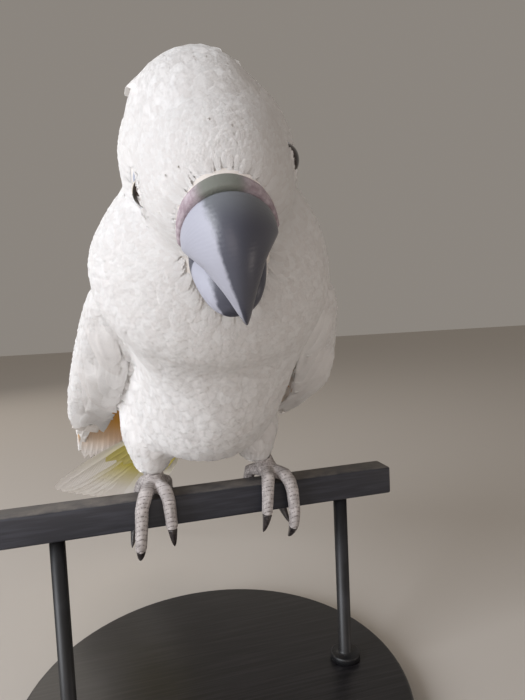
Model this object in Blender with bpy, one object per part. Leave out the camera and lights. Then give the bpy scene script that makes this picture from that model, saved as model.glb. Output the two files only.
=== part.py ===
"""White (umbrella) cockatoo, Cacatua alba: a still, life-size figure on a display perch.

The bird faces -Y and its own right side is at -X. The origin is the centre of the
underside of the base, +Z is up and lengths are in metres. Every solid is the outline
of the plumage, out to the tips of the feathers. The trunk and neck are one loft that
is parted by a thin cut; the other pieces are lofted and cut back by their neighbours,
so that touching solids stay a hair apart.
"""
import bpy
import bmesh
from math import cos, sin, pi, radians
from mathutils import Matrix, Vector

GAP = 0.0003                 # clearance between solids that touch
SLIVER = 0.00005             # corners closer than this are merged after a cut

# Stand and perch
BASE_RADIUS = 0.110
BASE_HEIGHT = 0.012
BASE_BEVEL = 0.002
ROD_RADIUS = 0.004
ROD_X = 0.080                # distance of each rod from the middle of the perch
ROD_FOOT_RADIUS = 0.009
ROD_FOOT_HEIGHT = 0.004
ROD_FOOT_CHAMFER = 0.001
PERCH_TOP = 0.130            # height of the perch's upper face above the floor
PERCH_SIZE = 0.016           # square bar
PERCH_LENGTH = 0.220
PERCH_BEVEL = 0.0012

# Head, in its own frame: left, forward and up from the middle of the line of the eyes
EYES_AT = (-0.0090, -0.1143, PERCH_TOP + 0.1410)
HEAD_YAW = radians(-6.5)     # turned a little to its own right
HEAD_NOD = radians(31.0)     # bill pointing down
HEAD_TILT = radians(10.0)    # its left side higher
HEAD_SIDES = 24
HEAD_RINGS = 13
# forward, half width, top, bottom, middle to the left; its right side is fluffed out a little
HEAD_STATIONS = [
    (0.0270, 0.0090, 0.0060, -0.0130, 0.0),
    (0.0225, 0.0165, 0.0145, -0.0205, 0.0),
    (0.0140, 0.0220, 0.0220, -0.0260, 0.0),
    (0.0000, 0.0268, 0.0272, -0.0310, 0.0),
    (-0.0170, 0.0310, 0.0302, -0.0330, -0.0012),
    (-0.0330, 0.0314, 0.0295, -0.0320, -0.0016),
    (-0.0480, 0.0262, 0.0240, -0.0260, -0.0014),
    (-0.0580, 0.0125, 0.0150, -0.0120, -0.0008),
]

# Bill: the culmen is an arc about the pivot; angles run from forehead to tip
BILL_PIVOT = (0.0195, -0.0178)      # forward, up
CULMEN_RADIUS = 0.0253
BILL_BASE_ANGLE = radians(66.0)
BILL_TIP_ANGLE = radians(-46.0)
CERE_TOP_ANGLE = radians(98.0)
CERE_SWELL = (0.0002, 0.0009, 0.0010, 0.0002, -0.0020)     # over the horn, front to back
# share of the way to the tip, half width, radius of the cutting edge from the pivot
BILL_STATIONS = [
    (0.00, 0.0152, 0.0030),
    (0.20, 0.0150, 0.0060),
    (0.40, 0.0128, 0.0078),
    (0.58, 0.0093, 0.0100),
    (0.74, 0.0058, 0.0136),
    (0.89, 0.0029, 0.0188),
    (1.00, 0.0007, 0.0245),
]
JAW_LEAN = radians(24.0)     # how far the rings of the lower bill lean forward
# forward, up, half width, height above and depth below the middle of each ring
JAW_STATIONS = [
    (0.0090, -0.0190, 0.0140, 0.0060, 0.0090),
    (0.0180, -0.0220, 0.0152, 0.0065, 0.0105),
    (0.0255, -0.0260, 0.0134, 0.0060, 0.0095),
    (0.0305, -0.0300, 0.0100, 0.0045, 0.0065),
    (0.0330, -0.0330, 0.0060, 0.0025, 0.0030),
]
EYE_RADIUS = 0.0062
EYE_SIDE = 0.0214            # half the distance between the centres of the eyes
EYE_FORWARD = 0.0005
EYE_TILT = 0.0012            # how far the left eye sits above the middle, and the right below

# Crest, folded back over the crown, in the head's frame.
# Each blade: start and end (left, forward, up), half width, half thickness, rise
CREST_BLADES = [
    ((-0.001, 0.014, 0.0180), (-0.003, -0.084, 0.0190), 0.0125, 0.0022, 0.0150),
    ((-0.008, 0.010, 0.0160), (-0.0235, -0.070, 0.0160), 0.0085, 0.0018, 0.0130),
    ((0.006, 0.010, 0.0165), (0.0110, -0.074, 0.0180), 0.0085, 0.0018, 0.0145),
]

CREST_ROLL = 14.7            # how fast the blades roll outwards, per metre from the middle
CREST_LEAN = 0.1             # of a blade's rings, towards the forehead

# Trunk and neck, from the nape to the root of the tail.
# y, height over the perch, slope down towards the tail, half width, up, down, x
BODY_STATIONS = [
    (-0.1080, 0.1320, 8, 0.0210, 0.0220, 0.0220, -0.006),
    (-0.0930, 0.1265, 12, 0.0385, 0.0330, 0.0380, -0.004),
    (-0.0760, 0.1190, 19, 0.0485, 0.0340, 0.0450, -0.003),
    (-0.0610, 0.1130, 24, 0.0510, 0.0330, 0.0460, -0.001),
    (-0.0450, 0.1020, 28, 0.0435, 0.0350, 0.0510, 0.002),
    (-0.0240, 0.0870, 32, 0.0405, 0.0410, 0.0570, 0.003),
    (0.0020, 0.0670, 34, 0.0430, 0.0460, 0.0540, 0.001),
    (0.0260, 0.0510, 34, 0.0425, 0.0420, 0.0415, -0.001),
    (0.0570, 0.0350, 32, 0.0340, 0.0300, 0.0250, -0.003),
    (0.0850, 0.0190, 30, 0.0250, 0.0170, 0.0170, -0.009),
    (0.1120, 0.0040, 30, 0.0190, 0.0080, 0.0090, -0.019),
]
NECK_CUT = 3.50              # place along the stations where the neck meets the trunk
BODY_SIDES = 28
RINGS_PER_STATION = 2.3

# Wings, held a little off the body.  Distances are from the middle of the body.
# y, upper edge (out, up), bulge (out, up), lower edge (out, up), thickness
WING_STATIONS = [
    (-0.0640, 0.0390, 0.1140, 0.0480, 0.1060, 0.0400, 0.0960, 0.0030),
    (-0.0520, 0.0380, 0.1200, 0.0550, 0.1030, 0.0370, 0.0860, 0.0070),
    (-0.0270, 0.0340, 0.1180, 0.0620, 0.0880, 0.0390, 0.0700, 0.0090),
    (0.0050, 0.0290, 0.1060, 0.0695, 0.0640, 0.0450, 0.0500, 0.0090),
    (0.0400, 0.0230, 0.0880, 0.0735, 0.0480, 0.0500, 0.0360, 0.0080),
    (0.0800, 0.0200, 0.0590, 0.0765, 0.0310, 0.0570, 0.0200, 0.0065),
    (0.1200, 0.0300, 0.0370, 0.0790, 0.0150, 0.0640, 0.0060, 0.0045),
    (0.1550, 0.0480, 0.0150, 0.0810, 0.0000, 0.0700, -0.0070, 0.0032),
    (0.1800, 0.0650, -0.0010, 0.0815, -0.0100, 0.0760, -0.0170, 0.0020),
    (0.1910, 0.0730, -0.0100, 0.0820, -0.0150, 0.0790, -0.0205, 0.0014),
]
WING_ACROSS = 7
WING_RINGS = 21
UPPER_EDGE_SHARE = 0.3       # of the outward shift that the upper edge takes
HELD_OUT_END = 0.75          # share of the wing's length that is held out
TUCK_START = 0.35            # share of the wing's length where the tip's tuck begins
# how far the middle of each wing is held out, and its tip is tucked in
WING_POSE = {"right": (0.0, 0.0), "left": (0.010, 0.040)}

# Tail, a shallow fan swung to the bird's right
TAIL_ROOT = (-0.0130, 0.0950, PERCH_TOP + 0.0110)
TAIL_TIP = (-0.0740, 0.2300, PERCH_TOP - 0.0725)
TAIL_ROOT_WIDTH = 0.017      # half widths
TAIL_TIP_WIDTH = 0.047
TAIL_ROOT_THICKNESS = 0.0060
TAIL_TIP_THICKNESS = 0.0014
TAIL_ROLL = radians(25.0)
TAIL_CAMBER = 0.004          # the sides hang below the middle
TAIL_ROUNDING = 0.018        # how far the outer feathers fall short of the middle ones

# Legs: side, x of hip, of ankle and of foot, turn of the foot
LEGS = {
    "right": dict(hip=-0.027, ankle=-0.029, foot=-0.0285, turn=radians(-3.0)),
    "left": dict(hip=0.027, ankle=0.030, foot=0.0365, turn=radians(10.0)),
}
HIP_Y, HIP_Z = 0.012, PERCH_TOP + 0.052
ANKLE_Y, ANKLE_Z = 0.004, PERCH_TOP + 0.0125
# share of the way down, half width, half depth
THIGH_RINGS = [(0.0, 0.0165, 0.0235), (0.45, 0.0165, 0.0215), (0.8, 0.0115, 0.0140), (1.0, 0.0075, 0.0085)]
THIGH_LEAN = 0.1
SHANK_INSIDE = 0.010         # length of the shank that the thigh's feathers hide
SHANK_RINGS = [(0.0, 0.0052), (0.4, 0.0052), (0.8, 0.0056), (1.0, 0.0046)]    # share, radius
SOLE_SINK = 0.0006           # how far the shank's end sits below the toes' middle line
TOE_CLEARANCE = 0.0007       # of the toes over the bar
TOE_ROOT = 0.002             # distance of the toes' roots from the bar's middle
TOE_CURL_START = 0.75        # share of the bar's face that a toe follows before it curls in
TOE_STAGGER = 0.125          # how far back a toe's root goes, by its offset to the side
TOE_RADIUS = 0.0041
TOE_END_RADIUS = 0.0031
CLAW_RADIUS = 0.0026
# name: 1 for front or -1 for back, outward offset, spread at the end, length, claw length
TOES = {
    "outer_front": (1, 0.0060, 0.0030, 0.040, 0.0140),
    "inner_front": (1, -0.0058, -0.0020, 0.029, 0.0130),
    "outer_back": (-1, 0.0055, 0.0065, 0.034, 0.0120),
    "inner_back": (-1, -0.0052, -0.0025, 0.021, 0.0110),
}
TOE_STEP = 0.00375           # between the rings of a toe
CLAW_TIP_RADIUS = 0.0003
CURL_RADIUS = 0.028          # of a toe's end, below the bar


def clear_scene():
    for thing in list(bpy.data.objects):
        bpy.data.objects.remove(thing, do_unlink=True)


def material(name, colour, roughness, metallic=0.0):
    """A Principled material, made once for each name."""
    made = bpy.data.materials.get(name)
    if made:
        return made
    made = bpy.data.materials.new(name)
    made.use_nodes = True
    shader = made.node_tree.nodes["Principled BSDF"]
    shader.inputs["Base Color"].default_value = (*colour, 1.0)
    shader.inputs["Roughness"].default_value = roughness
    shader.inputs["Metallic"].default_value = metallic
    return made


def plumage():
    return material("white plumage", (0.86, 0.84, 0.81), 0.85)


def bill_horn():
    return material("grey-black bill", (0.09, 0.09, 0.11), 0.45)


def foot_skin():
    return material("dusty grey foot skin", (0.33, 0.31, 0.30), 0.75)


def perch_paint():
    return material("charcoal painted steel", (0.03, 0.032, 0.038), 0.5, 0.2)


def base_paint():
    return material("black satin base", (0.02, 0.02, 0.022), 0.4)


def add_object(name, shape, look):
    """Make an object from a bmesh, with its faces pointing out and smooth shading."""
    bmesh.ops.recalc_face_normals(shape, faces=shape.faces)
    if shape.calc_volume(signed=True) < 0:
        bmesh.ops.reverse_faces(shape, faces=shape.faces)
    mesh = bpy.data.meshes.new(name)
    shape.to_mesh(mesh)
    shape.free()
    mesh.materials.append(look)
    mesh.shade_smooth()
    made = bpy.data.objects.new(name, mesh)
    bpy.context.scene.collection.objects.link(made)
    return made


def skin_rings(rings):
    """Close a row of point rings into a solid: quads between rings and a cap at each end."""
    shape = bmesh.new()
    rows = [[shape.verts.new(point) for point in ring] for ring in rings]
    count = len(rows[0])
    for low, high in zip(rows, rows[1:]):
        for index in range(count):
            after = (index + 1) % count
            shape.faces.new((low[index], low[after], high[after], high[index]))
    shape.faces.new(rows[0])
    shape.faces.new(reversed(rows[-1]))
    return shape


def along(stations, place):
    """Smooth values between the rows of a table; place runs from 0 to the last row."""
    last = len(stations) - 1
    place = min(max(place, 0.0), float(last))
    row = min(int(place), last - 1)
    t = place - row
    before, start = stations[max(row - 1, 0)], stations[row]
    end, after = stations[row + 1], stations[min(row + 2, last)]
    values = []
    for p0, p1, p2, p3 in zip(before, start, end, after):
        m1, m2 = (p2 - p0) / 2, (p3 - p1) / 2
        values.append((2 * t**3 - 3 * t**2 + 1) * p1 + (t**3 - 2 * t**2 + t) * m1
                      + (3 * t**2 - 2 * t**3) * p2 + (t**3 - t**2) * m2)
    return values


def spread(first, last, count):
    return [first + (last - first) * index / (count - 1) for index in range(count)]


def oval(centre, side, up, width, top, bottom, sides):
    """A ring with its own half width and heights above and below its centre."""
    ring = []
    for index in range(sides):
        angle = 2 * pi * index / sides
        height = top if sin(angle) > 0 else bottom
        ring.append(centre + side * (width * cos(angle)) + up * (height * sin(angle)))
    return ring


def tube(points, headings, radii, sides):
    """Rings round a path, square to its headings and as thick as the radii say."""
    rings = []
    for point, heading, radius in zip(points, headings, radii):
        across = heading.cross(Vector((1, 0, 0))).normalized()
        rings.append(oval(point, across, across.cross(heading).normalized(), radius, radius, radius, sides))
    return skin_rings(rings)


def swollen(piece, distance=GAP):
    """A copy of a piece's mesh, swollen so that a cut with it leaves a hair of room."""
    mesh = piece.data.copy()
    shape = bmesh.new()
    shape.from_mesh(mesh)
    shape.normal_update()
    moved = [vert.co + vert.normal * vert.calc_shell_factor() * distance for vert in shape.verts]
    for vert, place in zip(shape.verts, moved):
        vert.co = place
    shape.to_mesh(mesh)
    shape.free()
    return mesh


def boolean(piece, mesh, operation):
    """Cut or join a mesh into a piece, and keep the result as the piece's own mesh."""
    tool = bpy.data.objects.new("tool", mesh)
    bpy.context.scene.collection.objects.link(tool)
    step = piece.modifiers.new("step", 'BOOLEAN')
    step.object = tool
    step.operation = operation
    step.solver = 'EXACT'
    graph = bpy.context.evaluated_depsgraph_get()
    result = bpy.data.meshes.new_from_object(piece.evaluated_get(graph))
    piece.modifiers.clear()
    piece.data = result
    bpy.data.objects.remove(tool, do_unlink=True)


def drop_scraps(piece):
    """Keep only the largest body that a cut has left of a piece, without its slivers."""
    shape = bmesh.new()
    shape.from_mesh(piece.data)
    bodies, waiting = [], set(shape.faces)
    while waiting:
        body, front = set(), [waiting.pop()]
        while front:
            face = front.pop()
            body.add(face)
            for edge in face.edges:
                for other in edge.link_faces:
                    if other in waiting:
                        waiting.discard(other)
                        front.append(other)
        bodies.append(body)
    bodies.sort(key=lambda body: sum(face.calc_area() for face in body))
    scraps = [face for body in bodies[:-1] for face in body]
    bmesh.ops.delete(shape, geom=scraps, context='FACES')
    bmesh.ops.triangulate(shape, faces=shape.faces)
    bmesh.ops.remove_doubles(shape, verts=shape.verts, dist=SLIVER)
    bmesh.ops.dissolve_degenerate(shape, dist=SLIVER, edges=shape.edges)
    bmesh.ops.triangulate(shape, faces=shape.faces)
    shape.to_mesh(piece.data)
    shape.free()


def cut_back(piece, *rooms):
    """Cut the swollen copies of a piece's neighbours out of it."""
    for room in rooms:
        boolean(piece, room, 'DIFFERENCE')
    drop_scraps(piece)


def head_matrix():
    turn = (Matrix.Rotation(HEAD_YAW, 4, 'Z') @ Matrix.Rotation(HEAD_NOD, 4, 'X')
            @ Matrix.Rotation(-HEAD_TILT, 4, 'Y'))
    return Matrix.Translation(EYES_AT) @ turn


HEAD = head_matrix()


def in_head(left, forward, up):
    """World place of a point in the head's frame."""
    return HEAD @ Vector((left, -forward, up))


def head_axis(left, forward, up):
    return (HEAD.to_3x3() @ Vector((left, -forward, up))).normalized()


def make_stand():
    shape = bmesh.new()
    bmesh.ops.create_cone(shape, cap_ends=True, segments=48, radius1=BASE_RADIUS, radius2=BASE_RADIUS,
                          depth=BASE_HEIGHT, matrix=Matrix.Translation((0, 0, BASE_HEIGHT / 2)))
    rims = [edge for edge in shape.edges
            if abs(edge.verts[0].co.z - edge.verts[1].co.z) < 1e-6 and edge.verts[0].co.z > BASE_HEIGHT / 2]
    bmesh.ops.bevel(shape, geom=rims, offset=BASE_BEVEL, segments=1, profile=0.5, affect='EDGES',
                    material=-1)
    add_object("stand_base", shape, base_paint())

    foot = BASE_HEIGHT + GAP
    neck = foot + ROD_FOOT_HEIGHT
    top = PERCH_TOP - PERCH_SIZE - GAP
    for side, x in (("right", -ROD_X), ("left", ROD_X)):
        levels = [(foot, ROD_FOOT_RADIUS), (neck - ROD_FOOT_CHAMFER, ROD_FOOT_RADIUS),
                  (neck, ROD_FOOT_RADIUS - ROD_FOOT_CHAMFER),
                  (neck, ROD_RADIUS), (top, ROD_RADIUS)]
        rings = [oval(Vector((x, 0, height)), Vector((1, 0, 0)), Vector((0, 1, 0)), radius, radius,
                      radius, 16) for height, radius in levels]
        add_object("stand_rod_" + side, skin_rings(rings), base_paint())

    shape = bmesh.new()
    bmesh.ops.create_cube(shape, size=1.0, matrix=Matrix.Translation((0, 0, PERCH_TOP - PERCH_SIZE / 2))
                          @ Matrix.Diagonal((PERCH_LENGTH, PERCH_SIZE, PERCH_SIZE, 1)))
    bmesh.ops.bevel(shape, geom=shape.edges[:], offset=PERCH_BEVEL, segments=2, profile=0.5,
                    affect='EDGES', material=-1)
    return add_object("perch_bar", shape, perch_paint())


def body_ring(place):
    y, height, slope, width, top, bottom, x = along(BODY_STATIONS, place)
    lean = radians(slope)
    centre = Vector((x, y, PERCH_TOP + height))
    return oval(centre, Vector((1, 0, 0)), Vector((0, sin(lean), cos(lean))), width, top, bottom,
                BODY_SIDES)


def make_body():
    last = len(BODY_STATIONS) - 1
    neck_rings = [body_ring(place) for place in spread(0.0, NECK_CUT, 9)]
    step = Vector((0, GAP, 0))
    trunk_count = int((last - NECK_CUT) * RINGS_PER_STATION)
    trunk_rings = [body_ring(place) for place in spread(NECK_CUT, last, trunk_count)]
    trunk_rings[0] = [point + step for point in trunk_rings[0]]
    neck = add_object("neck", skin_rings(neck_rings), plumage())
    trunk = add_object("trunk", skin_rings(trunk_rings), plumage())
    return neck, trunk


def make_head():
    rings = []
    last = len(HEAD_STATIONS) - 1
    for place in spread(0, last, HEAD_RINGS):
        forward, width, top, bottom, left = along(HEAD_STATIONS, place)
        middle = (top + bottom) / 2
        rings.append(oval(in_head(left, forward, middle), head_axis(1, 0, 0), head_axis(0, 0, 1), width,
                          top - middle, middle - bottom, HEAD_SIDES))
    return add_object("head", skin_rings(rings), plumage())


def bill_ring(angle, half_width, edge_radius, steps=6, swell=0.0):
    """An arch from one cutting edge over the culmen to the other, across the bill."""
    depth = CULMEN_RADIUS + swell - edge_radius
    ring = []
    for index in range(2 * steps + 1):
        t = (index - steps) / steps * pi / 2
        across = (half_width + swell) * sin(t)
        radius = edge_radius + depth * cos(t) ** 0.85
        ring.append(in_head(across, BILL_PIVOT[0] + radius * cos(angle), BILL_PIVOT[1] + radius * sin(angle)))
    return ring


def make_bill():
    rings = []
    last = len(BILL_STATIONS) - 1
    for place in spread(0, last, 13):
        share, width, edge = along(BILL_STATIONS, place)
        angle = BILL_BASE_ANGLE + (BILL_TIP_ANGLE - BILL_BASE_ANGLE) * share
        rings.append(bill_ring(angle, width, edge))
    upper = add_object("bill_upper", skin_rings(rings), bill_horn())

    cere_gap = GAP / CULMEN_RADIUS
    width, edge = BILL_STATIONS[0][1:]
    rings = [bill_ring(angle, width, edge, swell=swell) for angle, swell in
             zip(spread(BILL_BASE_ANGLE + cere_gap, CERE_TOP_ANGLE, len(CERE_SWELL)), CERE_SWELL)]
    cere = add_object("cere", skin_rings(rings), material("cere skin", (0.40, 0.33, 0.33), 0.7))

    rings = []
    last = len(JAW_STATIONS) - 1
    for place in spread(0, last, 9):
        forward, up, width, top, bottom = along(JAW_STATIONS, place)
        rings.append(oval(in_head(0, forward, up), head_axis(1, 0, 0),
                          head_axis(0, sin(JAW_LEAN), cos(JAW_LEAN)), width, top, bottom, 18))
    lower = add_object("bill_lower", skin_rings(rings), bill_horn())
    cut_back(lower, swollen(upper), swollen(cere))
    return upper, lower, cere


def make_eyes():
    eyes = []
    for side, sign in (("right", -1), ("left", 1)):
        shape = bmesh.new()
        place = in_head(sign * EYE_SIDE, EYE_FORWARD, sign * EYE_TILT)
        bmesh.ops.create_uvsphere(shape, u_segments=12, v_segments=8, radius=EYE_RADIUS,
                                  matrix=Matrix.Translation(place))
        eyes.append(add_object("eye_" + side, shape, material("dark eye", (0.012, 0.008, 0.006), 0.05)))
    return eyes


def make_crest():
    blades = []
    for start, end, width, thickness, rise in CREST_BLADES:
        rings = []
        for t in spread(0.0, 1.0, 9):
            left, forward, up = [a + (b - a) * t for a, b in zip(start, end)]
            lift = rise * sin(pi * t ** 0.8)
            share = max(sin(pi * (0.12 + 0.80 * t)), 0.0) ** 0.55
            rings.append(oval(in_head(left, forward, up + lift), head_axis(1, 0, -CREST_ROLL * left),
                              head_axis(0, CREST_LEAN, 1), width * share, thickness * share,
                              thickness * share, 10))
        blades.append(add_object("crest", skin_rings(rings), plumage()))
    crest, *others = blades
    for other in others:
        boolean(crest, other.data, 'UNION')
        bpy.data.objects.remove(other, do_unlink=True)
    crest.name = "crest"
    return crest


def wing_ring(side, values, outward):
    """A thin shell across the wing, from its upper edge over the bulge to its lower edge; a
    tucked wing's upper edge moves in with the rest, a held-out one's stays near the body."""
    y, upper_out, upper_up, bulge_out, bulge_up, lower_out, lower_up, thickness = values
    upper = Vector((upper_out + min(outward, UPPER_EDGE_SHARE * outward), upper_up))
    lower = Vector((lower_out + outward, lower_up))
    bulge = Vector((bulge_out + outward, bulge_up))
    control = bulge * 2 - (upper + lower) / 2
    outer, inner = [], []
    for t in spread(0.0, 1.0, WING_ACROSS):
        point = upper * (1 - t) ** 2 + control * (2 * t * (1 - t)) + lower * t ** 2
        slope = (control - upper) * (1 - t) + (lower - control) * t
        inward = Vector((slope.y, -slope.x)).normalized()
        outer.append(point)
        inner.append(point + inward * thickness * (0.3 + 0.7 * sin(pi * t)))
    return [Vector((side * point.x, y, PERCH_TOP + point.y)) for point in outer + inner[::-1]]


def make_wing(side):
    last = len(WING_STATIONS) - 1
    held_out, tucked = WING_POSE[side]
    rings = []
    for place in spread(0, last, WING_RINGS):
        share = place / last
        tip_share = max((share - TUCK_START) / (1 - TUCK_START), 0.0)
        outward = held_out * sin(pi * min(share / HELD_OUT_END, 1.0)) - tucked * tip_share ** 1.5
        rings.append(wing_ring(1 if side == "left" else -1, along(WING_STATIONS, place), outward))
    return add_object("wing_" + side, skin_rings(rings), plumage())


def make_tail():
    root, tip = Vector(TAIL_ROOT), Vector(TAIL_TIP)
    forward = (tip - root).normalized()
    across = Matrix.Rotation(TAIL_ROLL, 3, forward) @ forward.cross(Vector((0, 0, 1))).normalized()
    up = across.cross(forward)
    rings = []
    for t in spread(0.0, 1.0, 9):
        width = TAIL_ROOT_WIDTH + (TAIL_TIP_WIDTH - TAIL_ROOT_WIDTH) * t ** 0.8
        thickness = TAIL_ROOT_THICKNESS + (TAIL_TIP_THICKNESS - TAIL_ROOT_THICKNESS) * t ** 0.5
        top, bottom = [], []
        for s in spread(-1.0, 1.0, 9):
            short = TAIL_ROUNDING * t ** 3 * (1 - (1 - abs(s) ** 2.5) ** 0.5)
            middle = root + (tip - root) * t - forward * short + across * (width * s) \
                - up * (TAIL_CAMBER * t * s * s)
            half = thickness * max(1 - s * s, 0.12) ** 0.5
            top.append(middle + up * half)
            bottom.append(middle - up * half)
        rings.append(top + bottom[::-1])
    return add_object("tail", skin_rings(rings), plumage())


def make_thigh(side):
    leg = LEGS[side]
    hip, ankle = Vector((leg["hip"], HIP_Y, HIP_Z)), Vector((leg["ankle"], ANKLE_Y, ANKLE_Z))
    rings = []
    for place in spread(0, len(THIGH_RINGS) - 1, 9):
        share, across, deep = along(THIGH_RINGS, place)
        rings.append(oval(hip.lerp(ankle, share), Vector((1, 0, 0)), Vector((0, 1, THIGH_LEAN)).normalized(),
                          across, deep, deep, 20))
    return add_object("thigh_" + side, skin_rings(rings), plumage())


def toe_point(distance, radius):
    """Place, as (outward from the bar's middle, height over its top), of a toe's middle line:
    along the top of the bar, round its edge, down its face and curling in below it."""
    half = PERCH_SIZE / 2
    reach = radius + TOE_CLEARANCE
    flat = half - TOE_ROOT
    if distance < flat:
        return TOE_ROOT + distance, reach
    distance -= flat
    turn = reach * pi / 2
    if distance < turn:
        angle = distance / reach
        return half + reach * sin(angle), reach * cos(angle)
    distance -= turn
    straight = PERCH_SIZE * TOE_CURL_START
    if distance < straight:
        return half + reach, -distance
    angle = (distance - straight) / CURL_RADIUS
    return half + reach - CURL_RADIUS * (1 - cos(angle)), -straight - CURL_RADIUS * sin(angle)


def toe_place(leg, toe, outward, distance):
    """World place of a toe's middle line at a distance from its root."""
    front, offset, fan, length, claw = toe
    out, height = toe_point(distance, TOE_RADIUS)
    share = distance / length
    sideways = outward * (offset * min(1.0, 0.35 + 1.6 * share) + fan * share)
    sideways += sin(leg["turn"]) * out * front
    return Vector((leg["foot"] + sideways, -front * out, PERCH_TOP + height))


def make_foot(side, perch):
    leg = LEGS[side]
    outward = 1 if side == "left" else -1
    ankle = Vector((leg["ankle"], ANKLE_Y, ANKLE_Z + SHANK_INSIDE))
    sole = Vector((leg["foot"], 0.0, PERCH_TOP + TOE_RADIUS - SOLE_SINK))
    down = (sole - ankle).normalized()
    shank = tube([ankle.lerp(sole, share) for share, radius in SHANK_RINGS], [down] * len(SHANK_RINGS),
                 [radius for share, radius in SHANK_RINGS], 12)
    foot = add_object("foot_" + side, shank, foot_skin())
    for name, toe in TOES.items():
        length, claw_length = toe[3:]
        start = -abs(toe[1]) * TOE_STAGGER

        def heading(distance):
            return (toe_place(leg, toe, outward, distance + GAP)
                    - toe_place(leg, toe, outward, distance - GAP)).normalized()

        stops = spread(start, length, int(length / TOE_STEP))
        path = [toe_place(leg, toe, outward, stop) for stop in stops]
        radii = spread(TOE_RADIUS, TOE_END_RADIUS, len(stops))
        digit = add_object("toe", tube(path, map(heading, stops), radii, 8), foot_skin())
        boolean(foot, digit.data, 'UNION')
        bpy.data.objects.remove(digit, do_unlink=True)

        stops = spread(length + GAP, length + claw_length, 6)
        path = [toe_place(leg, toe, outward, stop) for stop in stops]
        radii = [CLAW_RADIUS * (1 - share) ** 0.7 + CLAW_TIP_RADIUS for share in spread(0.0, 1.0, 6)]
        add_object("claw_%s_%s" % (side, name), tube(path, map(heading, stops), radii, 6),
                   material("dark claw", (0.05, 0.045, 0.045), 0.4))
    cut_back(foot, swollen(perch))
    return foot


def make_bird(perch):
    upper, lower, cere = make_bill()
    head = make_head()
    head_room = swollen(head)
    cut_back(head, swollen(upper), swollen(lower), swollen(cere, 2 * GAP), *map(swollen, make_eyes()))
    neck, trunk = make_body()
    neck_room, trunk_room = swollen(neck), swollen(trunk)
    cut_back(neck, head_room, swollen(lower))
    cut_back(make_crest(), head_room, neck_room)
    for side in ("right", "left"):
        thigh = make_thigh(side)
        cut_back(thigh, trunk_room)
        foot = make_foot(side, perch)
        cut_back(foot, swollen(thigh))
    for side in ("right", "left"):
        cut_back(make_wing(side), trunk_room, neck_room)
    cut_back(make_tail(), trunk_room)


clear_scene()
make_bird(make_stand())
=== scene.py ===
from math import atan2, cos, exp, pi, radians, sin, sqrt

import bmesh
import bpy
import numpy as np
from mathutils import Matrix, Vector, noise
from mathutils.bvhtree import BVHTree


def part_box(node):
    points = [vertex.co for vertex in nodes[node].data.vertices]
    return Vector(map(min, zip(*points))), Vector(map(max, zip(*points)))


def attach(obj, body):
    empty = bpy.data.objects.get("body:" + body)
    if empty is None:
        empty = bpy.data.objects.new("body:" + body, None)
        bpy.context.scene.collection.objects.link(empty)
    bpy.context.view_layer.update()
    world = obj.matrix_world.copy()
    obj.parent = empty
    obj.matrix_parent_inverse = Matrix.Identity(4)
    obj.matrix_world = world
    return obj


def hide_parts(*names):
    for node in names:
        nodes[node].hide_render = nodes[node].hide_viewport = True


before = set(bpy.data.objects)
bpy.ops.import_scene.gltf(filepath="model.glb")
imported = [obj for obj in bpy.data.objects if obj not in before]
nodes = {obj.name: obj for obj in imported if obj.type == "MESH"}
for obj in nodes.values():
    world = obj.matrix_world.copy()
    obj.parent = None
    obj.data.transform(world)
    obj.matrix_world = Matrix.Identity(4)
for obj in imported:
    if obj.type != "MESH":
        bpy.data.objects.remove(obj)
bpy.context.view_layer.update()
scene = bpy.context.scene
MM = 0.001

# ---------------------------------------------------------------------------------------
# The set.  A pale matte floor under a large soft window light from the bird's right, which
# leaves its left side in a warm shade, with a pale room as fill.  The camera stands close
# in front of the bird's right breast, at the height of its shoulders.
# ---------------------------------------------------------------------------------------


def linear(code):
    """An sRGB hex colour as linear red, green, blue and a full alpha."""
    parts = [int(code[i:i + 2], 16) / 255 for i in (1, 3, 5)]
    return (*[p / 12.92 if p <= 0.04045 else ((p + 0.055) / 1.055) ** 2.4 for p in parts], 1.0)


def add_node(look, kind, inputs=None, output=0, **settings):
    """Add a shader node and give one of its outputs.  An input is a hex colour, a value or
    another node's output; the rest are the node's settings."""
    made = look.node_tree.nodes.new("ShaderNode" + kind)
    for name, value in settings.items():
        setattr(made, name, value)
    for name, value in (inputs or {}).items():
        if isinstance(value, bpy.types.NodeSocket):
            look.node_tree.links.new(value, made.inputs[name])
        else:
            made.inputs[name].default_value = linear(value) if isinstance(value, str) else value
    return made.outputs[output]


def new_look(name, colour, roughness, **sockets):
    """A Principled material with a flat colour, and its shader, for patterns to be added to."""
    look = bpy.data.materials.new(name)
    look.use_nodes = True
    shader = look.node_tree.nodes["Principled BSDF"]
    shader.inputs["Base Color"].default_value = linear(colour)
    shader.inputs["Roughness"].default_value = roughness
    for socket, value in sockets.items():
        shader.inputs[socket.replace("_", " ")].default_value = value
    return look, shader


def link(look, output, shader, name):
    """Feed a node's output into one of the shader's sockets."""
    look.node_tree.links.new(output, shader.inputs[name])


def place(name, shape, look):
    """Make a piece of the model from a bmesh, with its place in its mesh."""
    mesh = bpy.data.meshes.new(name)
    shape.to_mesh(mesh)
    shape.free()
    mesh.shade_smooth()
    mesh.materials.append(look)
    piece = bpy.data.objects.new(name, mesh)
    scene.collection.objects.link(piece)
    return piece


FLOOR_SIZE = 4.0
CAMERA_AT = Vector((-0.04375, -0.28715, 0.2250))
CAMERA_TURN = radians(15.5)       # looks towards +Y and a little to +X
CAMERA_DIP = radians(3.9)
CAMERA_ROLL = radians(2.6)

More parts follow.
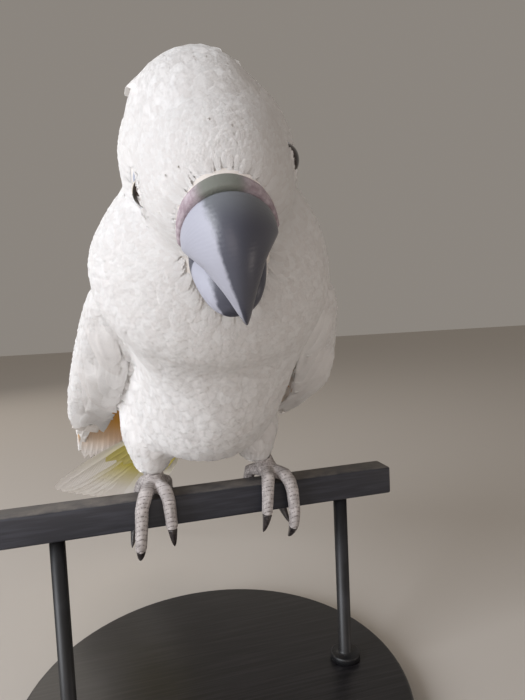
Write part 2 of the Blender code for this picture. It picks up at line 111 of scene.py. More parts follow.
# matte paint: no highlight, only the light's own falloff
floor_look, floor_shader = new_look("warm white painted board", "#cfc9c2", 0.9)
speckle = add_node(floor_look, "TexNoise", {"Scale": 1 / (900 * MM), "Detail": 3.0})
link(floor_look, add_node(floor_look, "Mix", {0: speckle, 6: "#c9c3bc", 7: "#d3cdc6"}, 2, data_type='RGBA'),
     floor_shader, "Base Color")
shape = bmesh.new()
bmesh.ops.create_grid(shape, x_segments=2, y_segments=2, size=FLOOR_SIZE)
floor = place("floor", shape, floor_look)

camera = bpy.data.cameras.new("camera")
camera.lens = 27.0
camera.sensor_fit = 'AUTO'
camera.sensor_width = 36.0
camera.clip_start = 0.01
ahead = Vector((sin(CAMERA_TURN), cos(CAMERA_TURN), 0))
right = Vector((cos(CAMERA_TURN), -sin(CAMERA_TURN), 0))
view = ahead * cos(CAMERA_DIP) - Vector((0, 0, sin(CAMERA_DIP)))
above = ahead * sin(CAMERA_DIP) + Vector((0, 0, cos(CAMERA_DIP)))
axes = (right * cos(CAMERA_ROLL) - above * sin(CAMERA_ROLL),
        right * sin(CAMERA_ROLL) + above * cos(CAMERA_ROLL), -view)
eye_point = bpy.data.objects.new("camera", camera)
eye_point.matrix_world = Matrix.Translation(CAMERA_AT) @ Matrix(axes).transposed().to_4x4()
scene.collection.objects.link(eye_point)
scene.camera = eye_point


def soft_light(name, at, towards, size, power, colour):
    """A round lamp of some size that looks at a point."""
    lamp = bpy.data.lights.new(name, 'AREA')
    lamp.shape = 'DISK'
    lamp.size = size
    lamp.energy = power
    lamp.color = linear(colour)[:3]
    holder = bpy.data.objects.new(name, lamp)
    turn = (Vector(towards) - Vector(at)).to_track_quat('-Z', 'Y').to_matrix().to_4x4()
    holder.matrix_world = Matrix.Translation(at) @ turn
    scene.collection.objects.link(holder)


MIDDLE = (0.0, 0.0, 0.22)
soft_light("window light", (-1.10, -0.50, 0.60), MIDDLE, 0.8, 16.0, "#f6f9ff")
soft_light("low light", (0.70, -0.45, 0.02), (0.05, 0.0, 0.18), 0.3, 0.7, "#fff2ea")
soft_light("fill light", (-0.35, -1.30, 0.25), MIDDLE, 0.9, 3.0, "#fff4f0")
soft_light("rim light", (-0.60, 1.20, 0.90), MIDDLE, 0.9, 3.0, "#fff6ea")
world = bpy.data.worlds.new("pale room")
world.use_nodes = True
world.node_tree.nodes["Background"].inputs["Color"].default_value = linear("#c2bab1")
world.node_tree.nodes["Background"].inputs["Strength"].default_value = 0.48
scene.world = world
scene.view_settings.view_transform = 'Standard'

# ---------------------------------------------------------------------------------------
# The stand.  A turned disc of beech, stained black and given a satin lacquer, and two round
# steel rods with screwed flanges, powder coated black, that carry the perch.
# ---------------------------------------------------------------------------------------

# the lacquer gives a broad satin highlight over a grain that just shows
stain, stain_shader = new_look("black-stained beech with satin lacquer", "#17171a", 0.42,
                               Coat_Weight=0.25, Coat_Roughness=0.25)
coords = add_node(stain, "TexCoord", output="Object")
# beech pores are 0.1 mm wide: drawn at about 1 mm, so that the grain shows
grain = add_node(stain, "Mapping", {"Vector": coords, "Scale": (1 / (45 * MM), 1 / (1.6 * MM), 1 / (6 * MM))})
grain = add_node(stain, "TexNoise", {"Vector": grain, "Scale": 1.0, "Detail": 5.0,
                                     "Distortion": 0.4})
grained = add_node(stain, "MapRange", {0: grain, 1: 0.35, 2: 0.72}, interpolation_type='SMOOTHSTEP')
link(stain, add_node(stain, "Mix", {0: grained, 6: "#101013", 7: "#262427"}, 2, data_type='RGBA'),
     stain_shader, "Base Color")
link(stain, add_node(stain, "Bump", {"Height": grain, "Distance": 0.06 * MM, "Strength": 0.6}), stain_shader,
     "Normal")

# baked powder: nearly black, with soft highlights broken up by a fine peel
powder_coat, coat_shader = new_look("black powder-coated steel", "#19191b", 0.46)
coords = add_node(powder_coat, "TexCoord", output="Object")
# the orange peel of a powder coat, drawn at 0.9 mm
peel = add_node(powder_coat, "TexNoise", {"Vector": coords, "Scale": 1 / (0.9 * MM), "Detail": 2.0})
link(powder_coat, add_node(powder_coat, "Bump", {"Height": peel, "Distance": 0.03 * MM, "Strength": 0.5}),
     coat_shader, "Normal")
wear = add_node(powder_coat, "TexNoise", {"Vector": coords, "Scale": 1 / (14 * MM), "Detail": 4.0})
wear_and_shade = add_node(powder_coat, "MapRange", {0: wear, 1: 0.4, 2: 0.75}, interpolation_type='SMOOTHSTEP')
link(powder_coat, add_node(powder_coat, "Mix", {0: wear_and_shade, 6: "#151517", 7: "#232326"}, 2,
                           data_type='RGBA'), coat_shader, "Base Color")

BASE_BEVEL = 2.5 * MM


def finish_piece(piece, slot, *replaced):
    """Hang a piece under the root and hide the nodes that it stands for; slot is not used."""
    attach(piece, "root")
    if replaced:
        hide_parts(*replaced)


def turned(name, profile, centre, look, steps=96):
    """A lathe-turned piece: a profile of (radius, height) spun about an upright axis."""
    shape = bmesh.new()
    corners = [shape.verts.new((centre.x + radius, centre.y, height)) for radius, height in profile]
    for low, high in zip(corners, corners[1:]):
        shape.edges.new((low, high))
    bmesh.ops.spin(shape, geom=shape.verts[:] + shape.edges[:], cent=centre, axis=(0, 0, 1),
                   dvec=(0, 0, 0), angle=2 * pi, steps=steps, use_merge=True)
    bmesh.ops.remove_doubles(shape, verts=shape.verts, dist=0.00001)
    bmesh.ops.recalc_face_normals(shape, faces=shape.faces)
    return place(name, shape, look)


def rounded(radius, low, high, bevel, steps=4):
    """The profile of a disc with a rounded upper rim, from the axis underneath to the axis on top."""
    arc = [(radius - bevel * (1 - cos(t * pi / 2 / steps)), high - bevel * (1 - sin(t * pi / 2 / steps)))
           for t in range(steps + 1)]
    return [(0.0, low), (radius - bevel / 3, low), (radius, low + bevel / 3), *arc, (0.0, high)]


low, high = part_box("stand_base")
centre = (low + high) / 2
base = turned("turned_base", rounded((high.x - low.x) / 2, low.z, high.z, BASE_BEVEL), centre, stain)
finish_piece(base, "stand_base", "stand_base")

ROD_RADIUS = 4.0 * MM
FLANGE_RADIUS = 9.0 * MM
FLANGE_HEIGHT = 4.0 * MM
for side in ("left", "right"):
    low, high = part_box("stand_rod_" + side)
    flange = low.z + FLANGE_HEIGHT
    profile = rounded(FLANGE_RADIUS, low.z, flange, 1.2 * MM)[:-1]
    profile += [(ROD_RADIUS + 1.2 * MM, flange), (ROD_RADIUS, flange + 1.4 * MM), (ROD_RADIUS, high.z),
                (0.0, high.z)]
    rod = turned("turned_rod_" + side, profile, (low + high) / 2, powder_coat, 48)
    finish_piece(rod, "stand", "stand_rod_" + side)

# ---------------------------------------------------------------------------------------
# The perch.  A short cut length of the square steel bar that the bird grips, painted
# charcoal, with a soft rounded edge, dust on its upper face and paint rubbed thin by claws.
# ---------------------------------------------------------------------------------------

# worn enamel: half glossy where claws rub it, dull and paler where dust lies
bar_paint, bar_shader = new_look("charcoal enamel on a square steel bar", "#2b2c33", 0.5)
coords = add_node(bar_paint, "TexCoord", output="Object")
facing = add_node(bar_paint, "NewGeometry", output="Normal")
upness = add_node(bar_paint, "SeparateXYZ", {"Vector": facing}, output="Z")
patches = add_node(bar_paint, "TexNoise", {"Vector": coords, "Scale": 1 / (9 * MM), "Detail": 6.0,
                                           "Roughness": 0.65})
streaks = add_node(bar_paint, "Mapping", {"Vector": coords,
                                          "Scale": (1 / (30 * MM), 1 / (2 * MM), 1 / (2 * MM))})
streaks = add_node(bar_paint, "TexNoise", {"Vector": streaks, "Scale": 1.0, "Detail": 4.0})
level = add_node(bar_paint, "MapRange", {0: upness, 1: 0.55, 2: 1.0}, interpolation_type='SMOOTHSTEP')
dusted = add_node(bar_paint, "MapRange", {0: patches, 1: 0.15, 2: 0.75}, interpolation_type='SMOOTHSTEP')
dusty = add_node(bar_paint, "Math", {0: level, 1: dusted}, operation='MULTIPLY')
streaked = add_node(bar_paint, "MapRange", {0: streaks, 1: 0.4, 2: 0.7}, interpolation_type='SMOOTHSTEP')
enamel = add_node(bar_paint, "Mix", {0: streaked, 6: "#24252c", 7: "#33343c"}, 2, data_type='RGBA')
link(bar_paint, add_node(bar_paint, "Mix", {0: dusty, 6: enamel, 7: "#77726d"}, 2,
                         data_type='RGBA'), bar_shader, "Base Color")
rough = add_node(bar_paint, "MapRange", {"Value": dusty, "To Min": 0.42, "To Max": 0.85})
link(bar_paint, rough, bar_shader, "Roughness")
link(bar_paint, add_node(bar_paint, "Bump", {"Height": patches, "Distance": 0.05 * MM, "Strength": 0.5}),
     bar_shader, "Normal")

low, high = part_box("perch_bar")
shape = bmesh.new()
bmesh.ops.create_cube(shape, size=1.0, matrix=Matrix.Translation((low + high) / 2)
                      @ Matrix.Diagonal((*(high - low), 1)))
bmesh.ops.bevel(shape, geom=shape.edges[:], offset=1.3 * MM, segments=4, profile=0.5, affect='EDGES',
                material=-1)
bar = place("painted_bar", shape, bar_paint)
bar.data.set_sharp_from_angle(angle=radians(40))
finish_piece(bar, "perch", "perch_bar")

# ---------------------------------------------------------------------------------------
# The skin.  One closed body from head to rump, with both thighs and the arms of the wings,
# that lies inside the plumage by the depth of its feathers.  Bare skin shows only round the
# eyes, where it is bluish white and fine-wrinkled and folds up into the lids.
# ---------------------------------------------------------------------------------------

HEAD_TURN = (radians(-6.5), radians(31.0), radians(10.0))    # yaw, nod, tilt
EYE_FORWARD = 0.5 * MM
EYE_RADIUS = 6.2 * MM
EYE_OUT = 21.4 * MM
EYE_TILT = 1.2 * MM

turn = (Matrix.Rotation(HEAD_TURN[0], 4, 'Z') @ Matrix.Rotation(HEAD_TURN[1], 4, 'X')
        @ Matrix.Rotation(-HEAD_TURN[2], 4, 'Y'))
eye_middle = sum((corner for side in ("left", "right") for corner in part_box("eye_" + side)), Vector()) / 4
HEAD = Matrix.Translation(eye_middle) @ turn @ Matrix.Translation((0, EYE_FORWARD, 0))
TO_HEAD = HEAD.inverted()


def in_head(left, forward, up):
    """The place of a point given in the head's own frame, from the middle between the eyes."""
    return HEAD @ Vector((left, -forward, up))


def head_axis(left, forward, up):
    """A direction given in the head's own frame."""
    return (HEAD.to_3x3() @ Vector((left, -forward, up))).normalized()


def smooth_step(value, low, high):
    """From 0 at low to 1 at high, with soft ends."""
    share = min(max((value - low) / (high - low), 0.0), 1.0)
    return share * share * (3 - 2 * share)


def copy_of(*names):
    """One bmesh from CAD nodes, their loose triangles merged."""
    shape = bmesh.new()
    for name in names:
        shape.from_mesh(nodes[name].data)
    bmesh.ops.remove_doubles(shape, verts=shape.verts, dist=0.000002)
    return shape


def smoothed(shape, verts, times=1):
    """Draw some corners of a shape towards their neighbours, a number of times."""
    for _ in range(times):
        bmesh.ops.smooth_vert(shape, verts=verts, factor=0.5, use_axis_x=True, use_axis_y=True,
                              use_axis_z=True)


def remeshed(shape, name, voxel):
    """The outer surface of a shape as one even, closed mesh."""
    mesh = bpy.data.meshes.new(name)
    shape.to_mesh(mesh)
    shape.free()
    piece = bpy.data.objects.new(name, mesh)
    scene.collection.objects.link(piece)
    step = piece.modifiers.new("one surface", 'REMESH')
    step.mode = 'VOXEL'
    step.voxel_size = voxel
    graph = bpy.context.evaluated_depsgraph_get()
    result = bmesh.new()
    result.from_mesh(bpy.data.meshes.new_from_object(piece.evaluated_get(graph)))
    bpy.data.objects.remove(piece, do_unlink=True)
    return result


WING_ARM_END = 0.085          # y where the flesh of the wing ends and only quills go on
VOXEL = 1.6 * MM
BILL_BASE = (0.0, 21.0 * MM, -6.0 * MM)
# depth of the feathers by their distance from the base of the bill
DEPTHS = ((0.010, 1.0 * MM), (0.035, 1.3 * MM), (0.070, 1.9 * MM), (0.110, 2.7 * MM), (0.400, 2.8 * MM))
HORN_DEPTH = 4.0 * MM        # of the skin's core inside the bill
THIGH_DEPTH = 2.4 * MM
WING_DEPTH = 1.8 * MM

bill_base = in_head(*BILL_BASE)
trees = {name: BVHTree.FromBMesh(copy_of(name)) for name in
         ("head", "neck", "trunk", "thigh_left", "thigh_right", "wing_left", "wing_right")}


def nearest_part(point):
    """The name of the fleshy node whose surface is nearest."""
    return min(trees, key=lambda name: trees[name].find_nearest(point)[3])


def table(rows, value):
    """A value read off a short table of (place, value) rows, straight between the rows."""
    for (a, low), (b, high) in zip(rows, rows[1:]):
        if value <= b:
            return low + (high - low) * max(value - a, 0.0) / (b - a)
    return rows[-1][1]


bill_tree = BVHTree.FromBMesh(copy_of("bill_upper", "bill_lower"))


def coat_depth(point, part):
    """How deep the skin lies under the outline here."""
    if bill_tree.find_nearest(point)[3] < trees[part].find_nearest(point)[3] - 0.5 * MM:
        return HORN_DEPTH
    if part.startswith("thigh"):
        return THIGH_DEPTH
    if part.startswith("wing"):
        return WING_DEPTH
    return table(DEPTHS, (point - bill_base).length)


arms = copy_of("wing_left", "wing_right")
bmesh.ops.bisect_plane(arms, geom=arms.verts[:] + arms.edges[:] + arms.faces[:],
                       plane_co=(0, WING_ARM_END, 0), plane_no=(0, 1, 0), clear_outer=True)
bmesh.ops.holes_fill(arms, edges=arms.edges)
flesh = copy_of("head", "neck", "trunk", "thigh_left", "thigh_right", "bill_upper", "bill_lower", "cere",
                "eye_left", "eye_right")
arm_mesh = bpy.data.meshes.new("arms")
arms.to_mesh(arm_mesh)
arms.free()
flesh.from_mesh(arm_mesh)
body = remeshed(flesh, "body", VOXEL)
smoothed(body, body.verts, 2)
body.normal_update()
outline = BVHTree.FromBMesh(body)         # where the tips of the feathers come
moved = []
for vert in body.verts:
    moved.append(vert.co - vert.normal * coat_depth(vert.co, nearest_part(vert.co)))
for vert, spot in zip(body.verts, moved):
    vert.co = spot
smoothed(body, body.verts, 6)
body.normal_update()

EYE_AXIS = (1.0, 0.20, 0.05)       # left, forward, up; mirrored for the right eye
LID_RADIUS = 4.3 * MM              # of the opening between the lids
LID_HEIGHT = 0.95 * MM             # of the lids' rims over the skin
LID_WIDTH = 0.85 * MM
WRINKLE = 0.95 * MM                # from one fold round the eye to the next
RING_RADIUS = 8.3 * MM             # of the bare skin
eyes = {}
for side, sign in (("right", -1), ("left", 1)):
    eyes[side] = (in_head(sign * EYE_OUT, EYE_FORWARD, sign * EYE_TILT),
                  head_axis(sign * EYE_AXIS[0], EYE_AXIS[1], EYE_AXIS[2]))


def from_eye(point, side):
    """How far a point is from an eye's axis, and how far out along it from the eye's centre."""
    centre, axis = eyes[side]
    out = (point - centre).dot(axis)
    return (point - centre - axis * out).length, out


def near_eye(point, side, reach):
    """Whether a point is in the skin round an eye."""
    across, out = from_eye(point, side)
    return across < reach and out > -4 * MM


for reach in (11 * MM, 9.5 * MM):
    edges = [edge for edge in body.edges
             if any(near_eye(edge.verts[0].co, side, reach) for side in eyes)]
    bmesh.ops.subdivide_edges(body, edges=edges, cuts=1, use_grid_fill=True)
bmesh.ops.triangulate(body, faces=[face for face in body.faces if len(face.verts) > 4])
for _ in range(3):
    around = [vert for vert in body.verts if any(near_eye(vert.co, side, 10.5 * MM) for side in eyes)]
    smoothed(body, around)
for side, (centre, axis) in eyes.items():
    for vert in body.verts:
        across, out = from_eye(vert.co, side)
        if across > 10 * MM or out < -4 * MM:
            continue
        rise = LID_HEIGHT * exp(-((across - LID_RADIUS - 0.6 * MM) / LID_WIDTH) ** 2)
        folds = smooth_step(across, 5.8 * MM, 6.6 * MM) - smooth_step(across, 7.8 * MM, 9.2 * MM)
        rise += 0.09 * MM * folds * sin(2 * pi * across / WRINKLE)
        rise += 0.10 * MM * folds * noise.noise(vert.co / (1.1 * MM))
        inside = 1 - smooth_step(across, LID_RADIUS - 0.7 * MM, LID_RADIUS + 0.1 * MM)
        under = sqrt(max(EYE_RADIUS ** 2 - across ** 2, 0)) - 0.7 * MM
        vert.co += axis * (rise * (1 - inside) + (under - out) * inside)
body.normal_update()

# skin is dull and a little mottled, with pores 0.35 mm apart
skin_look, skin_shader = new_look("bird skin, white under the feathers and bare round the eyes", "#e4dfda",
                                  0.62, Specular_IOR_Level=0.35)
coords = add_node(skin_look, "TexCoord", output="Object")
mottle = add_node(skin_look, "TexNoise", {"Vector": coords, "Scale": 1 / (2.5 * MM), "Detail": 4.0})
bare = add_node(skin_look, "Attribute", attribute_name="bare", output="Fac")
mottled = add_node(skin_look, "MapRange", {0: mottle, 1: 0.3, 2: 0.7}, interpolation_type='SMOOTHSTEP')
ring = add_node(skin_look, "Mix", {0: mottled, 6: "#8f97ac", 7: "#b7bcc9"}, 2, data_type='RGBA')
feathered = add_node(skin_look, "Mix", {0: mottled, 6: "#dcd6d0", 7: "#ece8e4"}, 2, data_type='RGBA')
link(skin_look, add_node(skin_look, "Mix", {0: bare, 6: feathered, 7: ring}, 2, data_type='RGBA'),
     skin_shader, "Base Color")
pores = add_node(skin_look, "TexNoise", {"Vector": coords, "Scale": 1 / (0.35 * MM), "Detail": 3.0})
link(skin_look, add_node(skin_look, "Bump", {"Height": pores, "Distance": 0.08 * MM, "Strength": 0.5}),
     skin_shader, "Normal")

skin = place("skin", body, skin_look)
bare_values = [max(1 - smooth_step(from_eye(vert.co, side)[0], RING_RADIUS - 0.5 * MM, RING_RADIUS + 1.0 * MM)
                   if from_eye(vert.co, side)[1] > 0 else 0.0 for side in eyes)
               for vert in skin.data.vertices]
skin.data.attributes.new("bare", 'FLOAT', 'POINT').data.foreach_set("value", bare_values)
finish_piece(skin, "plumage", "head", "neck", "trunk", "thigh_left", "thigh_right")
bpy.context.view_layer.objects.active = skin
skin.select_set(True)
bpy.ops.object.mode_set(mode='EDIT')
bpy.ops.mesh.select_all(action='SELECT')
bpy.ops.uv.smart_project(angle_limit=radians(60), island_margin=0.006)
bpy.ops.object.mode_set(mode='OBJECT')
skin.data.uv_layers[0].name = "skin"

# ---------------------------------------------------------------------------------------
# The eyes.  Whole balls, nearly black, as an adult cock's are: a dark brown iris round a
# large pupil, under a clear wet cornea that bulges a little between the lids.
# ---------------------------------------------------------------------------------------

PUPIL = 0.87                # cosine of the angle out to the pupil's edge
IRIS = 0.62                 # and to the iris's edge
CORNEA_BULGE = 0.35 * MM

# the cornea is wet and clear: one sharp glint on a ball that looks black
eye_look, eye_shader = new_look("dark eye under a wet cornea", "#0a0807", 0.08, IOR=1.376,
                                Coat_Weight=1.0, Coat_Roughness=0.02)
polar = add_node(eye_look, "Attribute", attribute_name="polar", output="Fac")
coords = add_node(eye_look, "TexCoord", output="Object")
fibres = add_node(eye_look, "TexNoise", {"Vector": coords, "Scale": 1 / (0.5 * MM), "Detail": 2.0})
iris = add_node(eye_look, "Mix", {0: fibres, 6: "#140c0a", 7: "#2c1d18"}, 2, data_type='RGBA')
in_iris = add_node(eye_look, "MapRange", {0: polar, 1: IRIS - 0.06, 2: IRIS + 0.02},
                   interpolation_type='SMOOTHSTEP')
outer = add_node(eye_look, "Mix", {0: in_iris, 6: "#1d1a1c", 7: iris}, 2, data_type='RGBA')
in_pupil = add_node(eye_look, "MapRange", {0: polar, 1: PUPIL - 0.02, 2: PUPIL + 0.02},
                    interpolation_type='SMOOTHSTEP')
link(eye_look, add_node(eye_look, "Mix", {0: in_pupil, 6: outer, 7: "#030304"}, 2, data_type='RGBA'),
     eye_shader, "Base Color")
for side, (centre, axis) in eyes.items():
    shape = bmesh.new()
    upright = axis.to_track_quat('Z', 'Y').to_matrix().to_4x4()
    bmesh.ops.create_uvsphere(shape, u_segments=40, v_segments=28, radius=EYE_RADIUS)
    cosines = []
    for vert in shape.verts:
        cosine = vert.co.normalized().z
        cosines.append(cosine)
        vert.co += vert.co.normalized() * CORNEA_BULGE * smooth_step(cosine, IRIS - 0.05, 1.0)
    bmesh.ops.transform(shape, matrix=Matrix.Translation(centre) @ upright, verts=shape.verts)
    eye = place("eyeball_" + side, shape, eye_look)
    eye.data.attributes.new("polar", 'FLOAT', 'POINT').data.foreach_set("value", cosines)
    finish_piece(eye, "eye", "eye_" + side)

# ---------------------------------------------------------------------------------------
# The bill.  Grey-black horn, hooked and deep, with a pale powder bloom on its flat sides
# and a bare dark ridge and tip.  The upper half is a hollow arch that closes over the
# scooped lower half; a band of mauve skin, the cere, joins its base to the forehead.
# ---------------------------------------------------------------------------------------

PIVOT = (19.5 * MM, -17.8 * MM)         # centre of the ridge's arc: forward, up
RIDGE_RADIUS = 25.3 * MM
BASE_ANGLE = radians(66.0)
TIP_ANGLE = radians(-46.0)
CERE_ANGLE = radians(98.0)
HORN_WALL = 1.7 * MM
# share of the way to the tip, half width, radius of the cutting edge from the pivot
UPPER_ROWS = ((0.00, 15.2, 3.0), (0.20, 15.0, 6.0), (0.40, 12.8, 7.8), (0.55, 9.9, 9.2), (0.63, 8.1, 11.9),
              (0.74, 5.8, 14.0), (0.89, 2.9, 18.8), (1.00, 0.5, 24.3))


def read_rows(rows, value):
    """Smooth values from a table whose first column is the place."""
    places = [row[0] for row in rows]
    k = min(max(sum(value >= p for p in places) - 1, 0), len(rows) - 2)
    before, start, end, after = rows[max(k - 1, 0)], rows[k], rows[k + 1], rows[min(k + 2, len(rows) - 1)]
    span = end[0] - start[0]
    t = (value - start[0]) / span
    values = []
    for p0, p1, p2, p3 in zip(before, start, end, after):
        m1 = (p2 - p0) * span / max(end[0] - before[0], 1e-9)
        m2 = (p3 - p1) * span / max(after[0] - start[0], 1e-9)
        values.append((2 * t**3 - 3 * t**2 + 1) * p1 + (t**3 - 2 * t**2 + t) * m1
                      + (3 * t**2 - 2 * t**3) * p2 + (t**3 - t**2) * m2)
    return values[1:]


def arch(angle, half_width, edge, radius, steps, flat=0.85):
    """An arc over the bill from one cutting edge to the other, in the plane through the pivot;
    the greater flat is, the flatter its sides and the sharper its ridge."""
    points = []
    for index in range(2 * steps + 1):
        t = (index - steps) / steps * pi / 2
        out = edge + (radius - edge) * max(cos(t), 0) ** flat
        points.append(in_head(half_width * sin(t), PIVOT[0] + out * cos(angle), PIVOT[1] + out * sin(angle)))
    return points


def loft(rings):
    """A closed piece through a row of rings that have the same number of points."""
    shape = bmesh.new()
    loops = []
    for ring in rings:
        corners = [shape.verts.new(point) for point in ring]
        loops.append([shape.edges.new(pair) for pair in zip(corners, corners[1:] + corners[:1])])
    for low, high in zip(loops, loops[1:]):
        bmesh.ops.bridge_loops(shape, edges=low + high)
    bmesh.ops.holes_fill(shape, edges=loops[0] + loops[-1], sides=0)
    bmesh.ops.recalc_face_normals(shape, faces=shape.faces)
    return shape


def softened(piece):
    """The piece with each face divided once and its edges rounded."""
    step = piece.modifiers.new("soft", 'SUBSURF')
    step.levels = step.render_levels = 1
    graph = bpy.context.evaluated_depsgraph_get()
    mesh = bpy.data.meshes.new_from_object(piece.evaluated_get(graph))
    piece.modifiers.clear()
    piece.data = mesh
    mesh.shade_smooth()
    return piece


rings = []
for step in range(27):
    share = step / 26
    half_width, edge = [value * MM for value in read_rows(UPPER_ROWS, share)]
    angle = BASE_ANGLE + (TIP_ANGLE - BASE_ANGLE) * share
    outside = arch(angle, half_width, edge, RIDGE_RADIUS, 12, 0.85 + 0.40 * smooth_step(share, 0.0, 0.30))
    hollow = 1 - smooth_step(share, 0.55, 0.85)
    inner_radius = max(RIDGE_RADIUS - HORN_WALL * (1 + 2.5 * share), edge + 0.15 * MM)
    inner_radius = edge + (inner_radius - edge) * hollow + 0.05 * MM
    inside = arch(angle, max(half_width - HORN_WALL * 0.8, half_width * 0.45), edge + 0.1 * MM, inner_radius,
                  12, 1.0)
    rings.append(outside + inside[::-1])
upper_bill = loft(rings)

# keratin is satin and dark; its powder bloom turns it pale grey-blue and dull
horn, horn_shader = new_look("grey-black bill horn with powder bloom", "#3a3b44", 0.42, Coat_Weight=0.10,
                             Coat_Roughness=0.35)
coords = add_node(horn, "TexCoord", output="Object")
# the side mark holds the real bloom of the flat sides, cut on the bird's shaded left side and in the gape as
# painted shade
side_face = add_node(horn, "Attribute", attribute_name="side", output="Fac")
toward_tip = add_node(horn, "Attribute", attribute_name="toward_tip", output="Fac")
cloud = add_node(horn, "TexNoise", {"Vector": coords, "Scale": 1 / (5 * MM), "Detail": 5.0, "Roughness": 0.6})
ragged = add_node(horn, "Math", {0: cloud, 1: 0.30, 2: side_face}, operation='MULTIPLY_ADD')
on_side = add_node(horn, "MapRange", {0: ragged, 1: 0.50, 2: 0.66}, interpolation_type='SMOOTHSTEP')
short_of_tip = add_node(horn, "MapRange", {0: toward_tip, 1: 1.02, 2: 0.80}, interpolation_type='SMOOTHSTEP')
bloom = add_node(horn, "Math", {0: on_side, 1: short_of_tip}, operation='MULTIPLY')
past_base = add_node(horn, "MapRange", {0: toward_tip, 1: 0.0, 2: 0.28}, interpolation_type='SMOOTHSTEP')
base_tint = add_node(horn, "Mix", {0: past_base, 6: "#70747a", 7: "#4a4c58"}, 2, data_type='RGBA')
link(horn, add_node(horn, "Mix", {0: bloom, 6: base_tint, 7: "#a9abb8"}, 2, data_type='RGBA'), horn_shader,
     "Base Color")
link(horn, add_node(horn, "MapRange", {"Value": bloom, "To Min": 0.36, "To Max": 0.62}), horn_shader,
     "Roughness")
# growth lines 1.2 mm apart lie across the bill, with fine scratches along it
growth = add_node(horn, "Math", {0: toward_tip, 1: 34.0 * 2 * pi}, operation='MULTIPLY')
wander = add_node(horn, "Math", {0: cloud, 1: 5.0}, operation='MULTIPLY')
growth = add_node(horn, "Math", {0: add_node(horn, "Math", {0: growth, 1: wander}, operation='ADD')},
                  operation='SINE')
chips = add_node(horn, "TexNoise", {"Vector": coords, "Scale": 1 / (0.8 * MM), "Detail": 4.0})
relief = add_node(horn, "Math", {0: growth, 1: 0.25, 2: chips}, operation='MULTIPLY_ADD')
link(horn, add_node(horn, "Bump", {"Height": relief, "Distance": 0.05 * MM, "Strength": 0.7}), horn_shader,
     "Normal")

SHADED_SIDE_BLOOM = 0.25                # share of the bloom kept on the bird's left side, which lies in shade: painted shade
JAW_NARROWED = 0.84          # the lower half is a little drawn in, and slid to the bird's right
JAW_ASIDE = 1.8 * MM
GAPE = 1.0 * MM              # from the upper half, within which the lower one keeps no bloom: painted shade in the gape


def mark_horn(piece, start, end, shaded_by=None):
    """Store on each corner how far it is to the side and how far along the bill it is; the bird's
    left side, in shade, keeps only a share of the bloom, and the side that lies close to another
    piece keeps none: both are painted shade."""
    points = [TO_HEAD @ vert.co for vert in piece.data.vertices]
    widest = max(abs(point.x) for point in points)
    aside, along = [], []
    for vert, point in zip(piece.data.vertices, points):
        normal = TO_HEAD.to_3x3() @ vert.normal
        # the bird's left side lies in shade and keeps only a share of the bloom: painted shade
        wear_and_shade = 1.0 if normal.x < 0 else SHADED_SIDE_BLOOM
        # where the lower half lies close under the upper one, its bloom is taken away as painted shade
        if shaded_by:
            wear_and_shade *= smooth_step(shaded_by.find_nearest(vert.co)[3], GAPE, GAPE + 1.2 * MM)
        aside.append((0.75 * abs(normal.x) + 0.25 * abs(point.x) / widest) * wear_and_shade)
        angle = atan2(point.z - PIVOT[1], -point.y - PIVOT[0])
        along.append((angle - start) / (end - start))
    for name, values in (("side", aside), ("toward_tip", along)):
        piece.data.attributes.new(name, 'FLOAT', 'POINT').data.foreach_set("value", values)


bill = softened(place("upper_bill", upper_bill, horn))
mark_horn(bill, BASE_ANGLE, TIP_ANGLE)
upper_tree = BVHTree.FromPolygons([vert.co for vert in bill.data.vertices],
                                  [face.vertices for face in bill.data.polygons])
finish_piece(bill, "bill", "bill_upper")

# forward, up, half width, height above and depth below the middle of each ring
LOWER_ROWS = ((0, 9.0, -19.0, 14.0, 6.0, 9.0), (1, 18.0, -22.0, 15.2, 6.5, 10.5),
              (2, 25.5, -26.0, 13.4, 6.0, 9.5), (3, 30.5, -30.0, 10.0, 4.5, 6.5),
              (4, 33.0, -33.0, 5.2, 1.8, 2.6))
LOWER_LEAN = radians(24.0)
rings = []
for step in range(17):
    forward, up, half_width, over, below = [value * MM for value in read_rows(LOWER_ROWS, step / 4)]
    lean = head_axis(0, sin(LOWER_LEAN), cos(LOWER_LEAN))
    ring = []
    for index in range(24):
        angle = 2 * pi * index / 24
        height = over if sin(angle) > 0 else below
        ring.append(in_head(0, forward, up) + head_axis(1, 0, 0) * (half_width * cos(angle))
                    + lean * (height * sin(angle)))
    rings.append(ring)
lower = softened(place("lower_bill", loft(rings), horn))
for vert in lower.data.vertices:
    spot = TO_HEAD @ vert.co
    vert.co = HEAD @ Vector((spot.x * JAW_NARROWED - JAW_ASIDE, spot.y, spot.z))
mark_horn(lower, radians(-10.0), radians(-75.0), upper_tree)
finish_piece(lower, "bill", "bill_lower")

# The cere: a soft band, mauve at the sides and grey-green over the ridge, with the nostrils, whose holes are
# painted nearly black as painted shade
CERE_SWELL = 1.0 * MM
NOSTRIL_AT = (0.52, 0.62)             # share round the arch from the ridge, share of the way back
NOSTRIL_RADIUS = 1.5 * MM
